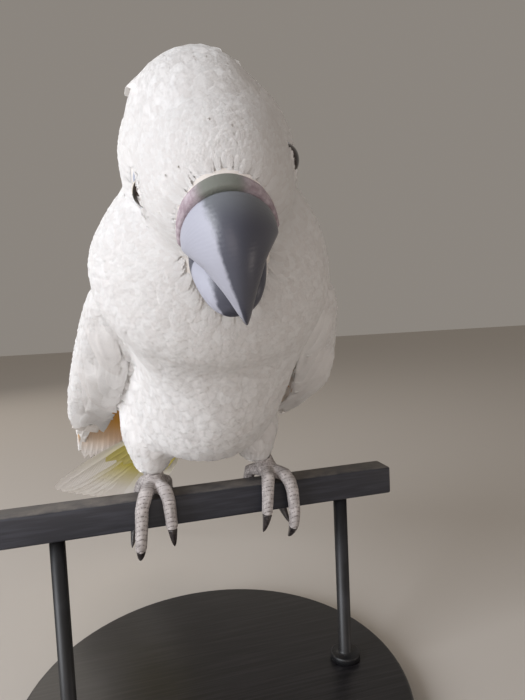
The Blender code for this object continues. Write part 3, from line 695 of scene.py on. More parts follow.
# the cere is dull and soft, its grains 0.5 mm across
cere_skin, cere_shader = new_look("soft cere skin", "#8a7a80", 0.68, Specular_IOR_Level=0.4)
coords = add_node(cere_skin, "TexCoord", output="Object")
aside = add_node(cere_skin, "Attribute", attribute_name="aside", output="Fac")
nostril = add_node(cere_skin, "Attribute", attribute_name="nostril", output="Fac")
mottle = add_node(cere_skin, "TexNoise", {"Vector": coords, "Scale": 1 / (2.0 * MM), "Detail": 5.0})
mottled = add_node(cere_skin, "MapRange", {0: mottle, 1: 0.3, 2: 0.7}, interpolation_type='SMOOTHSTEP')
sides = add_node(cere_skin, "Mix", {0: mottled, 6: "#92828a", 7: "#b8acb3"}, 2, data_type='RGBA')
at_side = add_node(cere_skin, "MapRange", {0: aside, 1: 0.30, 2: 0.62}, interpolation_type='SMOOTHSTEP')
tint = add_node(cere_skin, "Mix", {0: at_side, 6: "#73766f", 7: sides}, 2, data_type='RGBA')
# the nostrils' holes are painted nearly black: painted shade inside them
link(cere_skin, add_node(cere_skin, "Mix", {0: nostril, 6: tint, 7: "#1d1516"}, 2, data_type='RGBA'),
     cere_shader, "Base Color")
grain = add_node(cere_skin, "TexVoronoi", {"Vector": coords, "Scale": 1 / (0.5 * MM)}, output="Distance")
link(cere_skin, add_node(cere_skin, "Bump", {"Height": grain, "Distance": 0.10 * MM, "Strength": 0.6}),
     cere_shader, "Normal")
rings = []
half_width, edge = [value * MM for value in read_rows(UPPER_ROWS, 0.0)]
for step in range(15):
    share = step / 14
    angle = BASE_ANGLE + 0.004 + (CERE_ANGLE - BASE_ANGLE) * share
    swell = CERE_SWELL * sin(pi * min(share * 1.25, 1.0)) ** 0.7 - 2.0 * MM * max(share - 0.8, 0) / 0.2
    rings.append(arch(angle, half_width + swell, edge, RIDGE_RADIUS + swell, 16))
cere = place("cere_band", loft(rings), cere_skin)
spots = [rings[round(14 * NOSTRIL_AT[1])][16 + round(16 * NOSTRIL_AT[0]) * side] for side in (-1, 1)]
cere.data.update()
dark = []
for vert in cere.data.vertices:
    near = min((vert.co - spot).length for spot in spots)
    hole = 1 - smooth_step(near, NOSTRIL_RADIUS * 0.55, NOSTRIL_RADIUS * 1.15)
    rim = exp(-((near - NOSTRIL_RADIUS * 1.5) / (0.6 * MM)) ** 2)
    dark.append(hole)
    vert.co += vert.normal * (0.35 * MM * rim - 1.1 * MM * hole)
cere.data.attributes.new("nostril", 'FLOAT', 'POINT').data.foreach_set("value", dark)
cere.data.attributes.new("aside", 'FLOAT', 'POINT').data.foreach_set(
    "value", [abs((TO_HEAD @ vert.co).x) / half_width for vert in cere.data.vertices])
finish_piece(softened(cere), "cere", "cere")

# ---------------------------------------------------------------------------------------
# The body feathers.  Each is a thin closed vane with a raised shaft and a fringe of loose
# barbs, rooted in the skin, draped over it along the lie of the coat, and laid over the
# feathers behind it.  They are shortest round the bill and eyes and longest on the back.
# ---------------------------------------------------------------------------------------

rng = np.random.default_rng(5)
BODY_RUN = Vector((0.0, 0.75, -0.66))        # from the shoulders to the tail
LEG_RUN = Vector((0.0, 0.10, -1.0))
WING_RUN = Vector((0.0, 0.86, -0.50))
LENGTHS = ((0.008, 4.0 * MM), (0.025, 6.5 * MM), (0.055, 11.0 * MM), (0.085, 16 * MM), (0.120, 20 * MM),
           (0.200, 24 * MM), (0.400, 27 * MM))
HALF_WIDTH = 0.32            # of a feather, as a share of its length
SPACING = 0.18               # between roots, as a share of a feather's length
FACE_SPACING = 0.145         # nearer the bill
PATCH = 0.003                # size of each feather on the bake map
VANE_SHAPE = ((0.0, 0.2, 0.45, 0.65, 0.8, 0.9, 0.97, 1.02, 1.1),
              (0.45, 0.72, 0.93, 1.0, 0.95, 0.78, 0.52, 0.26, 0.0))


def vane_plan(cuts, depth, sweep):
    """Corners as (along, across, layer) and triangles of a closed vane with edges cut into barbs."""
    corners = [(i / cuts * 1.05, 0.0, layer) for layer in (1, -1) for i in range(cuts + 1)]
    faces = []
    margins = []
    for side in (1, -1):
        first = len(corners)
        for i in range(cuts + 1):
            corners.append((min(i / cuts + sweep * 0.6, 1.0), side * (1 - depth), 0))
            if i < cuts:
                corners.append(((i + 0.5) / cuts + sweep, side * 1.0, 0))
        margins.append((first, len(corners) - 1))
        for layer, start in ((1, 0), (-1, cuts + 1)):
            for i in range(cuts):
                here, ahead = start + i, start + i + 1
                notch, barb, after = first + 2 * i, first + 2 * i + 1, first + 2 * i + 2
                for face in ((here, notch, barb), (here, barb, ahead), (ahead, barb, after)):
                    faces.append(face if side * layer < 0 else face[::-1])
    (near, far), (near_other, far_other) = margins
    faces += [(0, cuts + 1, near), (0, near_other, cuts + 1),
              (cuts, far, 2 * cuts + 1), (cuts, 2 * cuts + 1, far_other)]
    return np.array(corners), np.array(faces)


def nearest(tree, points):
    """The surface's nearest points to some points, and its normals there."""
    found = [tree.find_nearest(point)[:2] for point in points]
    return np.array([spot for spot, normal in found]), np.array([normal for spot, normal in found])


def unit(vectors):
    """Vectors scaled to a length of 1."""
    return vectors / np.maximum(np.linalg.norm(vectors, axis=-1, keepdims=True), 1e-12)


RISE = 0.80                  # of a feather's lift is reached by its middle, so that tips step little
CAMBER = 0.07                # of a vane from shaft to edge, as a share of its lift
VANE_HALF_THICK = 0.030      # at the shaft, as a share of its half width
OVERLAP = 0.4 * MM           # by which the outer feathers stand over the outline's mesh
STEEPEST = 0.28              # the most that a feather's tip lifts, as a share of its length
HORN_FLAT = ((1 * MM, 8 * MM), (0.35, 1.0))    # feathers next to the bill lie closer
TILT = 0.06                  # of the shading across a vane, which is a little rounded


def drape(tree, roots, runs, lengths, half_widths, lifts, plan, rolls):
    """Corners of many vanes laid over a surface, and the way each faces: a vane walks from its
    root along its run, and every corner is set on the surface and lifted off it."""
    corners = plan[0]
    count, steps = len(roots), 8
    spots, normals = nearest(tree, roots)
    runs = unit(runs - normals * (runs * normals).sum(1, keepdims=True))
    line, ups, sides = [spots], [normals], [np.cross(normals, runs)]
    for step in range(steps):
        spots, normals = nearest(tree, spots + runs * (lengths / steps)[:, None])
        runs = unit(runs - normals * (runs * normals).sum(1, keepdims=True))
        line.append(spots)
        ups.append(normals)
        sides.append(np.cross(normals, runs))
    line.append(line[-1] + (line[-1] - line[-2]))
    line, ups, sides = [np.array(part + [part[-1]] * (steps + 2 - len(part))) for part in (line, ups, sides)]
    if lifts is None:
        lifts = np.array([outline.find_nearest(spot)[3] for spot in line[6]])
        from_horn = np.array([bill_tree.find_nearest(spot)[3] for spot in line[6]])
        lifts = np.minimum(lifts, STEEPEST * lengths) * np.interp(from_horn, *HORN_FLAT) + OVERLAP
    placed = np.zeros((count, len(corners), 3))
    facing = np.zeros((count, len(corners), 3))
    for index, (along, across, layer) in enumerate(corners):
        k = min(int(along * steps), steps)
        t = along * steps - k
        middle = line[k] * (1 - t) + line[k + 1] * t
        side = unit(sides[k] * (1 - t) + sides[k + 1] * t)
        up = unit(ups[k] * (1 - t) + ups[k + 1] * t)
        wide = half_widths * np.interp(along, *VANE_SHAPE) * across
        spot = middle
        if across:
            spot, normal = nearest(tree, middle + side * wide[:, None])
            up = unit(up + normal)
        share = RISE * (1 - (1 - min(along, 1.0)) ** 2.4) + (1 - RISE) * along - CAMBER * across * across
        rise = lifts * share - (0.15 * (1 - along) + 0.6 * max(1 - along, 0) ** 5) * MM
        rise = rise + rolls * wide + layer * VANE_HALF_THICK * half_widths * (1.1 - along * 0.7)
        placed[:, index] = spot + up * rise[:, None]
        facing[:, index] = unit(up + side * across * TILT + np.cross(side, up) * (along - 0.5) * 0.04)
    return placed, facing


def feather_piece(name, parts, look):
    """One piece from several batches: corners of each vane, their plan, map places and tones."""
    mesh = bpy.data.meshes.new(name)
    spots, faces, uvs, tones, alongs, normals = [], [], [], [], [], []
    start = 0
    for placed, facing, plan, places, tone in parts:
        corners, plan_faces = plan
        count, size = placed.shape[:2]
        spots.append(placed.reshape(-1, 3))
        offsets = start + np.arange(count)[:, None, None] * size
        faces.append((plan_faces[None] + offsets).reshape(-1, 3))
        local = np.stack([corners[:, 1] * 0.45 + corners[:, 2] * 0.02 * (1 - abs(corners[:, 1])),
                          corners[:, 0] - 0.5], 1) * PATCH
        uvs.append((places[:, None] + local[None]).reshape(-1, 2))
        tones.append(np.repeat(tone, size))
        alongs.append(np.tile(corners[:, :2], (count, 1)))
        a, b, c = [placed[:, plan_faces[:, k]] for k in range(3)]
        flat = unit(np.cross(b - a, c - a))[:, :, None].repeat(3, 2)
        soft = facing[:, plan_faces]
        normals.append(np.where((soft * flat).sum(3, keepdims=True) > 0.35, soft, flat).reshape(-1, 3))
        start += count * size
    spots, faces, uvs = np.concatenate(spots), np.concatenate(faces), np.concatenate(uvs)
    tones, alongs, normals = np.concatenate(tones), np.concatenate(alongs), np.concatenate(normals)
    mesh.vertices.add(len(spots))
    mesh.vertices.foreach_set("co", spots.ravel())
    mesh.loops.add(faces.size)
    mesh.loops.foreach_set("vertex_index", faces.ravel())
    mesh.polygons.add(len(faces))
    mesh.polygons.foreach_set("loop_start", np.arange(len(faces)) * 3)
    mesh.update(calc_edges=True)
    mesh.uv_layers.new(name="OFBake").data.foreach_set("uv", np.clip(uvs[faces.ravel()], 0, 1).ravel())
    mesh.attributes.new("tone", 'FLOAT', 'POINT').data.foreach_set("value", tones)
    mesh.attributes.new("along", 'FLOAT', 'POINT').data.foreach_set("value", alongs[:, 0])
    mesh.attributes.new("across", 'FLOAT', 'POINT').data.foreach_set("value", alongs[:, 1])
    mesh.shade_smooth()
    mesh.normals_split_custom_set(normals)
    mesh.materials.append(look)
    piece = bpy.data.objects.new(name, mesh)
    scene.collection.objects.link(piece)
    finish_piece(piece, "plumage")


def lie(point, normal, part):
    """The direction in which a feather at this point lies, along the skin."""
    if part.startswith("thigh"):
        run = LEG_RUN
    elif part.startswith("wing"):
        run = WING_RUN
    else:
        away = point - bill_base
        share = smooth_step(away.length, 0.045, 0.090)
        run = away.normalized() * (1 - share) + BODY_RUN * share
    return (run - normal * run.dot(normal)).normalized()


skin_shape = bmesh.new()
skin_shape.from_mesh(skin.data)
bmesh.ops.triangulate(skin_shape, faces=skin_shape.faces)
skin_shape.faces.ensure_lookup_table()
skin_tree = BVHTree.FromBMesh(skin_shape)
skin_map = skin_shape.loops.layers.uv[0]
CERE_HALF_WIDTH = 15.2 * MM
CERE_COVER = radians(20.0)   # of the cere's back edge lies over the roots of the first feathers


def map_place(index, point):
    """Where a point on a triangle of the skin lies on the skin's unwrap."""
    face = skin_shape.faces[index]
    a, b, c = [loop.vert.co for loop in face.loops]
    whole = max((b - a).cross(c - a).length, 1e-14)
    shares = ((b - point).cross(c - point).length, (c - point).cross(a - point).length,
              (a - point).cross(b - point).length)
    return sum((loop[skin_map].uv * (share / whole) for loop, share in zip(face.loops, shares)),
               Vector((0, 0)))


def feather_length(point, part):
    """How long a feather rooted here is."""
    if part.startswith("thigh"):
        return 11 * MM
    if part.startswith("wing"):
        return 9 * MM + 9 * MM * smooth_step(point.y, -0.05, 0.06)
    return table(LENGTHS, (point - bill_base).length)


def sow(tries):
    """Roots spread evenly over the skin, as far apart as the feathers there are long."""
    areas = np.array([face.calc_area() for face in skin_shape.faces])
    middles = [face.calc_center_median() for face in skin_shape.faces]
    parts_of = [nearest_part(middle) for middle in middles]
    gaps = np.array([feather_length(m, part) for m, part in zip(middles, parts_of)])
    gaps *= np.interp([(middle - bill_base).length for middle in middles], (30 * MM, 50 * MM),
                      (FACE_SPACING, SPACING))
    weights = areas / gaps ** 2
    picks = rng.choice(len(areas), tries, p=weights / weights.sum())
    grid, kept, cell = {}, [], 6.5 * MM
    for pick, u, v in zip(picks, rng.random(tries), rng.random(tries)):
        if u + v > 1:
            u, v = 1 - u, 1 - v
        a, b, c = [vert.co for vert in skin_shape.faces[pick].verts]
        point = a + (b - a) * u + (c - a) * v
        gap = gaps[pick]
        key = [int(np.floor(value / cell)) for value in point]
        around = [(key[0] + i, key[1] + j, key[2] + k) for i in (-1, 0, 1) for j in (-1, 0, 1)
                  for k in (-1, 0, 1)]
        if any((point - other).length_squared < (gap * 0.5 + other_gap * 0.5) ** 2
               for spot in around for other, other_gap in grid.get(spot, ())):
            continue
        grid.setdefault(tuple(key), []).append((point, gap))
        kept.append((point, pick, parts_of[pick]))
    return kept


PLANS = {"body": vane_plan(6, 0.16, 0.08), "face": vane_plan(4, 0.20, 0.10)}
WING_COAT_END = 32 * MM      # along the body: long feathers cover the wings from here back
FACE_END = 42 * MM           # from the bill's base: nearer feathers have fewer barbs

# powdery white keratin that lets some light through: it has no highlights of its own
plumage, plumage_shader = new_look("white feathers with a soft silky face", "#efece9", 0.75,
                                   Specular_IOR_Level=0.2, Sheen_Weight=0.15, Sheen_Roughness=0.5,
                                   Subsurface_Weight=0.35, Subsurface_Radius=(1.0, 0.95, 0.9),
                                   Subsurface_Scale=1.5 * MM)
tone = add_node(plumage, "Attribute", attribute_name="tone", output="Fac")
link(plumage, add_node(plumage, "Mix", {0: tone, 6: "#efecea", 7: "#f8f7f6"}, 2, data_type='RGBA'),
     plumage_shader, "Base Color")
along = add_node(plumage, "Attribute", attribute_name="along", output="Fac")
across = add_node(plumage, "Attribute", attribute_name="across", output="Fac")
# the barbs slant out from the shaft, about 0.3 mm apart
slant = add_node(plumage, "Math", {0: add_node(plumage, "Math", {0: across}, operation='ABSOLUTE'), 1: -9.0},
                 operation='MULTIPLY')
slant = add_node(plumage, "Math", {0: along, 1: 54.0, 2: slant}, operation='MULTIPLY_ADD')
barbs = add_node(plumage, "Math", {0: add_node(plumage, "Math", {0: slant, 1: 2 * pi}, operation='MULTIPLY')},
                 operation='SINE')
link(plumage, add_node(plumage, "Bump", {"Height": barbs, "Distance": 0.012 * MM, "Strength": 0.4}),
     plumage_shader, "Normal")


def feather_batch(chosen, plan):
    """Corners, plan, map places and tones for the feathers rooted at the chosen points."""
    points, picks, parts = zip(*chosen)
    count = len(points)
    normals = [skin_tree.find_nearest(point)[1] for point in points]
    runs = np.array([lie(point, normal, part) for point, normal, part in zip(points, normals, parts)])
    sideways = np.cross(np.array(normals), runs)
    runs = runs + sideways * rng.normal(0, 0.10, count)[:, None]
    lengths = np.array([feather_length(point, part) for point, part in zip(points, parts)])
    lengths = lengths * rng.uniform(0.85, 1.12, count)
    shares = np.array([0.23 if length < 7 * MM else HALF_WIDTH for length in lengths])
    placed, facing = drape(skin_tree, np.array(points), runs, lengths, lengths * shares, None, plan,
                           rng.normal(0, 0.02, count))
    places = np.array([map_place(pick, point) for pick, point in zip(picks, points)])
    return placed, facing, plan, places, rng.uniform(0, 1, count)


def open_skin(point):
    """Whether feathers grow here: not on the eye rings, nor where the bill and cere stand."""
    if any(from_eye(point, side)[0] < RING_RADIUS and from_eye(point, side)[1] > -2 * MM for side in eyes):
        return False
    spot, normal, _, gap = bill_tree.find_nearest(point)
    if gap < 0.3 * MM or (point - spot).dot(normal) < 0:
        return False
    here = TO_HEAD @ point
    forward, up = -here.y - PIVOT[0], here.z - PIVOT[1]
    beside = abs(here.x) / (CERE_HALF_WIDTH + 1.0 * MM)
    if beside >= 1 or atan2(up, forward) > CERE_ANGLE - CERE_COVER:
        return True
    return sqrt(forward ** 2 + up ** 2) > RIDGE_RADIUS * sqrt(1 - beside ** 2) + 1.0 * MM


groups = {}
for root in sow(200000):
    point, pick, part = root
    if not open_skin(point):
        continue
    near = (point - bill_base).length < FACE_END
    if part == "head":
        part = "face" if near else "crown"
    elif part == "trunk":
        part = "breast" if skin_tree.find_nearest(point)[1].y < 0.1 else "back"
    elif part.startswith("wing") and point.y > WING_COAT_END + rng.uniform(-12, 12) * MM:
        continue
    groups.setdefault(part, []).append(root)
for part, chosen in groups.items():
    plan = PLANS["face" if part == "face" else "body"]
    feather_piece("coat_" + part, [feather_batch(chosen, plan)], plumage)

# ---------------------------------------------------------------------------------------
# The wings.  Ten primaries, eleven secondaries and two rows of coverts on each, every one a
# closed vane either side of a round shaft, and each laid over the next one out, as on a
# folded wing.  Their backs are white; underneath, the inner vanes are washed with yellow.
# ---------------------------------------------------------------------------------------

QUILL_SHAPE = ((0.0, 0.06, 0.20, 0.45, 0.80, 0.93, 1.0), (0.16, 0.45, 0.85, 1.0, 0.94, 0.66, 0.10))
SOFT_SHAPE = ((0.0, 0.10, 0.30, 0.60, 0.85, 0.95, 1.0), (0.25, 0.62, 0.92, 1.0, 0.86, 0.60, 0.12))
ACROSS = (-1.0, -0.55, -0.07, 0.0, 0.07, 0.55, 1.0)
VANE_THICK = 0.28 * MM
WASH_REACH = ((0.0, 0.55, 0.72, 0.85), (1.0, 1.0, 0.3, 0.0))    # of the yellow, along a feather
WIDEST = 0.24                # half a feather's width, as a share of its sheet's
SHAFT = 0.40 * MM            # how far the shaft stands out of the vane at its root


def on_sheet(sheet, u, v):
    """Points of a surface held as a grid of points, with straight lines on past its edges."""
    rows, columns = sheet.shape[:2]
    row, column = np.asarray(u) * (rows - 1), np.asarray(v) * (columns - 1)
    i = np.clip(np.floor(row), 0, rows - 2).astype(int)
    j = np.clip(np.floor(column), 0, columns - 2).astype(int)
    a, b = (row - i)[..., None], (column - j)[..., None]
    return (sheet[i, j] * (1 - a) * (1 - b) + sheet[i + 1, j] * a * (1 - b)
            + sheet[i, j + 1] * (1 - a) * b + sheet[i + 1, j + 1] * a * b)


def relaxed(sheet, times):
    """The same grid with its small steps smoothed out, and its four sides where they were."""
    for _ in range(times):
        for turned_grid in (sheet, sheet.transpose(1, 0, 2)):
            turned_grid[1:-1] = (turned_grid[:-2] + turned_grid[1:-1] * 2 + turned_grid[2:]) / 4
    return sheet


def handed(sheet, outward):
    """1 if the sheet's first direction, second and outward are a right-handed set, else -1."""
    middle, ahead, beside = [on_sheet(sheet, *[np.array([value]) for value in place])[0]
                             for place in ((0.5, 0.5), (0.6, 0.5), (0.5, 0.6))]
    return 1 if np.cross(ahead - middle, beside - middle) @ np.array(outward) > 0 else -1


def long_vane(sheet, hand, start, end, half_width, lift, roll=0.45 * MM, bow=0.0, rows=15,
              shape_of=QUILL_SHAPE, lead=0.0, dive=0.0, ragged=0.07):
    """One long feather on a sheet, as corners, faces, map places of their loops and marks on
    its corners (along, across, layer).  It runs from start to end in the sheet's measures;
    roll raises its far side, lead moves its shaft there and dive sinks its root."""
    t = np.linspace(0.0, 1.0, rows)
    start, end = np.array(start), np.array(end)
    line = start + (end - start) * t[:, None]
    line[:, 1] += bow * np.sin(pi * t)
    step = 0.004
    middle, fore, aft, far, near = [on_sheet(sheet, line[:, 0] + du, line[:, 1] + dv) for du, dv in
                                    ((0, 0), (step, 0), (-step, 0), (0, step), (0, -step))]
    by_u, by_v = (fore - aft) / (2 * step), (far - near) / (2 * step)
    ahead = unit(np.gradient(middle, axis=0))
    up = unit(np.cross(by_u, by_v)) * hand
    side = unit(np.cross(up, ahead)) * hand
    uu, uv, vv = (by_u * by_u).sum(1), (by_u * by_v).sum(1), (by_v * by_v).sum(1)
    su, sv = (by_u * side).sum(1), (by_v * side).sum(1)
    span = uu * vv - uv * uv
    du, dv = (su * vv - sv * uv) / span, (sv * uu - su * uv) / span
    widths = np.minimum(half_width * np.interp(t, *shape_of), WIDEST * np.linalg.norm(by_v, axis=1))
    wobble = 1 - ragged * rng.random((rows, 2)) * (np.arange(rows)[:, None] > 2)
    corners, places, marks = [], [], []
    for layer in (1, -1):
        for across in ACROSS:
            share = across + lead * (1 - across * across)
            reach = widths * share * (wobble[:, int(across > 0)] if abs(across) == 1 else 1)
            raised = lift + roll * across - dive * (1 - t) ** 3 - 0.06 * widths * across * across
            if abs(across) < 1:
                raised = raised + layer * VANE_THICK / 2
            if across == 0:
                raised = raised + layer * SHAFT * (1 - 0.75 * t)
            spot = on_sheet(sheet, line[:, 0] + du * reach, line[:, 1] + dv * reach)
            corners.append(spot + up * raised[:, None])
            places.append(np.stack([np.full(rows, (across + 1) / 2), t], 1))
            marks.append(np.stack([t, np.full(rows, across), np.full(rows, layer)], 1))
    count = len(ACROSS)
    corners, places, marks = [np.array(part).transpose(1, 0, 2) for part in (corners, places, marks)]
    number = np.arange(rows * 2 * count).reshape(rows, 2 * count)
    number[:, count] = number[:, 0]
    number[:, 2 * count - 1] = number[:, count - 1]
    for end_row in (0, -1):
        over, under = corners[end_row, count // 2], corners[end_row, count + count // 2]
        corners[end_row, count // 2] = (over + under) / 2
        number[end_row, :] = number[end_row, count // 2]
    faces, loops = [], []
    for layer, first in ((1, 0), (-1, count)):
        for i in range(rows - 1):
            for j in range(first, first + count - 1):
                square = [(i, j), (i + 1, j), (i + 1, j + 1), (i, j + 1)]
                if layer * hand < 0:
                    square = square[::-1]
                kept = [place for k, place in enumerate(square) if number[place] != number[square[k - 1]]]
                faces.append([number[place] for place in kept])
                loops.append([(places[place], layer) for place in kept])
    return corners.reshape(-1, 3), faces, loops, marks.reshape(-1, 3)


def vane_piece(name, vanes, look, washes, *replaced):
    """One piece from many long vanes; each has its own strip on the bake map, its back and
    its underside side by side, and its own share of yellow wash on the underside."""
    cells = int(np.ceil(sqrt(len(vanes))))
    points, faces, uvs, tones, alongs, acrosses, yellows = [], [], [], [], [], [], []
    for index, ((corners, vane_faces, loops, marks), (back, under, *reach)) in enumerate(zip(vanes, washes)):
        start = len(points)
        points.extend(corners)
        row, column = divmod(index, cells)
        for face, places in zip(vane_faces, loops):
            faces.append([start + number for number in face])
            for (across, along), layer in places:
                uvs.append(((column + (0.04 if layer > 0 else 0.52) + 0.44 * across) / cells,
                            (row + 0.03 + 0.94 * along) / cells))
                yellows.append((back if layer > 0 else under) * np.interp(along, *(reach or WASH_REACH)))
        tones.extend([rng.uniform(0, 1)] * len(corners))
        alongs.extend(marks[:, 0])
        acrosses.extend(marks[:, 1])
    mesh = bpy.data.meshes.new(name)
    mesh.from_pydata([tuple(point) for point in points], [], faces)
    mesh.uv_layers.new(name="OFBake").data.foreach_set("uv", np.array(uvs).ravel())
    for label, values in (("tone", tones), ("along", alongs), ("across", acrosses)):
        mesh.attributes.new(label, 'FLOAT', 'POINT').data.foreach_set("value", values)
    mesh.attributes.new("yellow", 'FLOAT', 'CORNER').data.foreach_set("value", yellows)
    mesh.shade_smooth()
    mesh.set_sharp_from_angle(angle=radians(60))
    shape = bmesh.new()
    shape.from_mesh(mesh)
    loose = [vert for vert in shape.verts if not vert.link_faces]
    bmesh.ops.delete(shape, geom=loose, context='VERTS')
    shape.to_mesh(mesh)
    shape.free()
    mesh.materials.append(look)
    piece = bpy.data.objects.new(name, mesh)
    scene.collection.objects.link(piece)
    finish_piece(piece, "plumage", *replaced)


def quill_look(name, wash):
    """The look of long feathers: white, barbed, and washed with a colour where marked."""
    look, shader = new_look(name, "#f1eeeb", 0.62, Specular_IOR_Level=0.3)
    tone, along, across, yellow = [add_node(look, "Attribute", attribute_name=label, output="Fac")
                                   for label in ("tone", "along", "across", "yellow")]
    white = add_node(look, "Mix", {0: tone, 6: "#eeebe8", 7: "#f9f8f7"}, 2, data_type='RGBA')
    link(look, add_node(look, "Mix", {0: yellow, 6: white, 7: wash}, 2, data_type='RGBA'), shader,
         "Base Color")
    # the barbs slant out from the shaft, drawn 1.5 mm apart
    aslant = add_node(look, "Math", {0: add_node(look, "Math", {0: across}, operation='ABSOLUTE'), 1: -6.0},
                      operation='MULTIPLY')
    aslant = add_node(look, "Math", {0: along, 1: 60.0, 2: aslant}, operation='MULTIPLY_ADD')
    waves = add_node(look, "Math", {0: aslant, 1: 2 * pi}, operation='MULTIPLY')
    link(look, add_node(look, "Bump", {"Height": add_node(look, "Math", {0: waves}, operation='SINE'),
                                       "Distance": 0.04 * MM, "Strength": 0.6}), shader, "Normal")
    return look


# the underside's yellow is real; its warming to orange is painted warm bounce light
wing_quills = quill_look("white flight feathers, washed with orange-yellow underneath", "#d99a14")
tail_quills = quill_look("white tail feathers, washed with lemon yellow underneath", "#cdbf34")


TIP_WIDTH = 14 * MM          # the sheet goes straight on where the wing gets narrower than this


def wing_sheet(side):
    """Both faces of a wing as one grid, felt from both sides along rays.  Its first measure
    runs from shoulder to tip; its second from the upper edge (0) down the outer face, round
    the lower edge (0.5) and up the inner face (1)."""
    sign = 1 if side == "left" else -1
    low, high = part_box("wing_" + side)
    inward = Vector((-sign * 0.92, 0, -0.40)).normalized()
    down = Vector((sign * 0.40, 0, -0.92)).normalized()
    rows, before, count = [], 0, 44
    for y in np.linspace(low.y + 1.5 * MM, high.y - 1.0 * MM, count):
        centre = Vector(((low.x + high.x) / 2, y, (low.z + high.z) / 2))
        row = []
        for way, order in ((1, range(-150, 150)), (-1, range(149, -151, -1))):
            start = centre - inward * (0.2 * way)
            hits = [trees["wing_" + side].ray_cast(start + down * (k * MM), inward * way)[0] for k in order]
            hits = np.array([hit for hit in hits if hit is not None])
            if len(hits) < TIP_WIDTH / MM:
                break
            lengths = np.concatenate([[0], np.cumsum(np.linalg.norm(np.diff(hits, axis=0), axis=1))])
            places = np.linspace(0, lengths[-1], 21)
            row.append(np.stack([np.interp(places, lengths, hits[:, k]) for k in range(3)], 1))
        if len(row) < 2:
            before += not rows
            continue
        rows.append(np.concatenate([row[0], row[1][1:]]))
    for _ in range(before):
        rows.insert(0, rows[0] * 2 - rows[1])
    felt = len(rows)
    while len(rows) < count:
        rows.append(rows[-1] * 2 - rows[-2])
    sheet = relaxed(np.array(rows), 8)
    for i in range(before, felt):
        sheet[i] = nearest(trees["wing_" + side], sheet[i])[0]
    return relaxed(sheet, 2)


def inner_wash(across):
    """How yellow the wing's inner face is: fully by the lower edge, not at all by the upper."""
    return 1 - smooth_step(across, 0.70, 0.84)


def row_of(count, first, last, power=1.0):
    """Places in even steps from the first to the last."""
    shares = np.linspace(0, 1, count) ** power
    return [tuple(np.array(first) + (np.array(last) - np.array(first)) * share) for share in shares]


PRIMARY_ENDS = ((0.80, 0.25), (0.84, 0.275), (0.88, 0.30), (0.915, 0.325), (0.95, 0.35), (0.98, 0.372),
                (1.0, 0.395), (1.0, 0.418), (0.985, 0.44), (0.95, 0.462))
# coverts: how many, first and last root, reach along the wing, half width, lift and yellow
OUTER_COVERTS = ((13, (0.26, 0.44), (0.36, 0.05), 0.185, 7.5 * MM, 0.0, 0.0),
                 (14, (0.20, 0.45), (0.29, 0.05), 0.135, 6.0 * MM, 0.5 * MM, 0.0))
INNER_COVERTS = ((9, (0.26, 0.58), (0.30, 0.93), 0.20, 7.0 * MM, 0.2 * MM, 0.8),
                 (9, (0.16, 0.57), (0.20, 0.93), 0.17, 6.0 * MM, 0.6 * MM, 0.35))
# the tertials hang between the wing and the rump: front and back ends, outer then inner
TERTIALS = {"right": (((-50, 45, 196), (-36, 55, 186)), ((-76, 158, 115), (-42, 148, 112))),
            "left": (((62, 25, 190), (42, 35, 190)), ((62, 110, 140), (30, 120, 134)))}
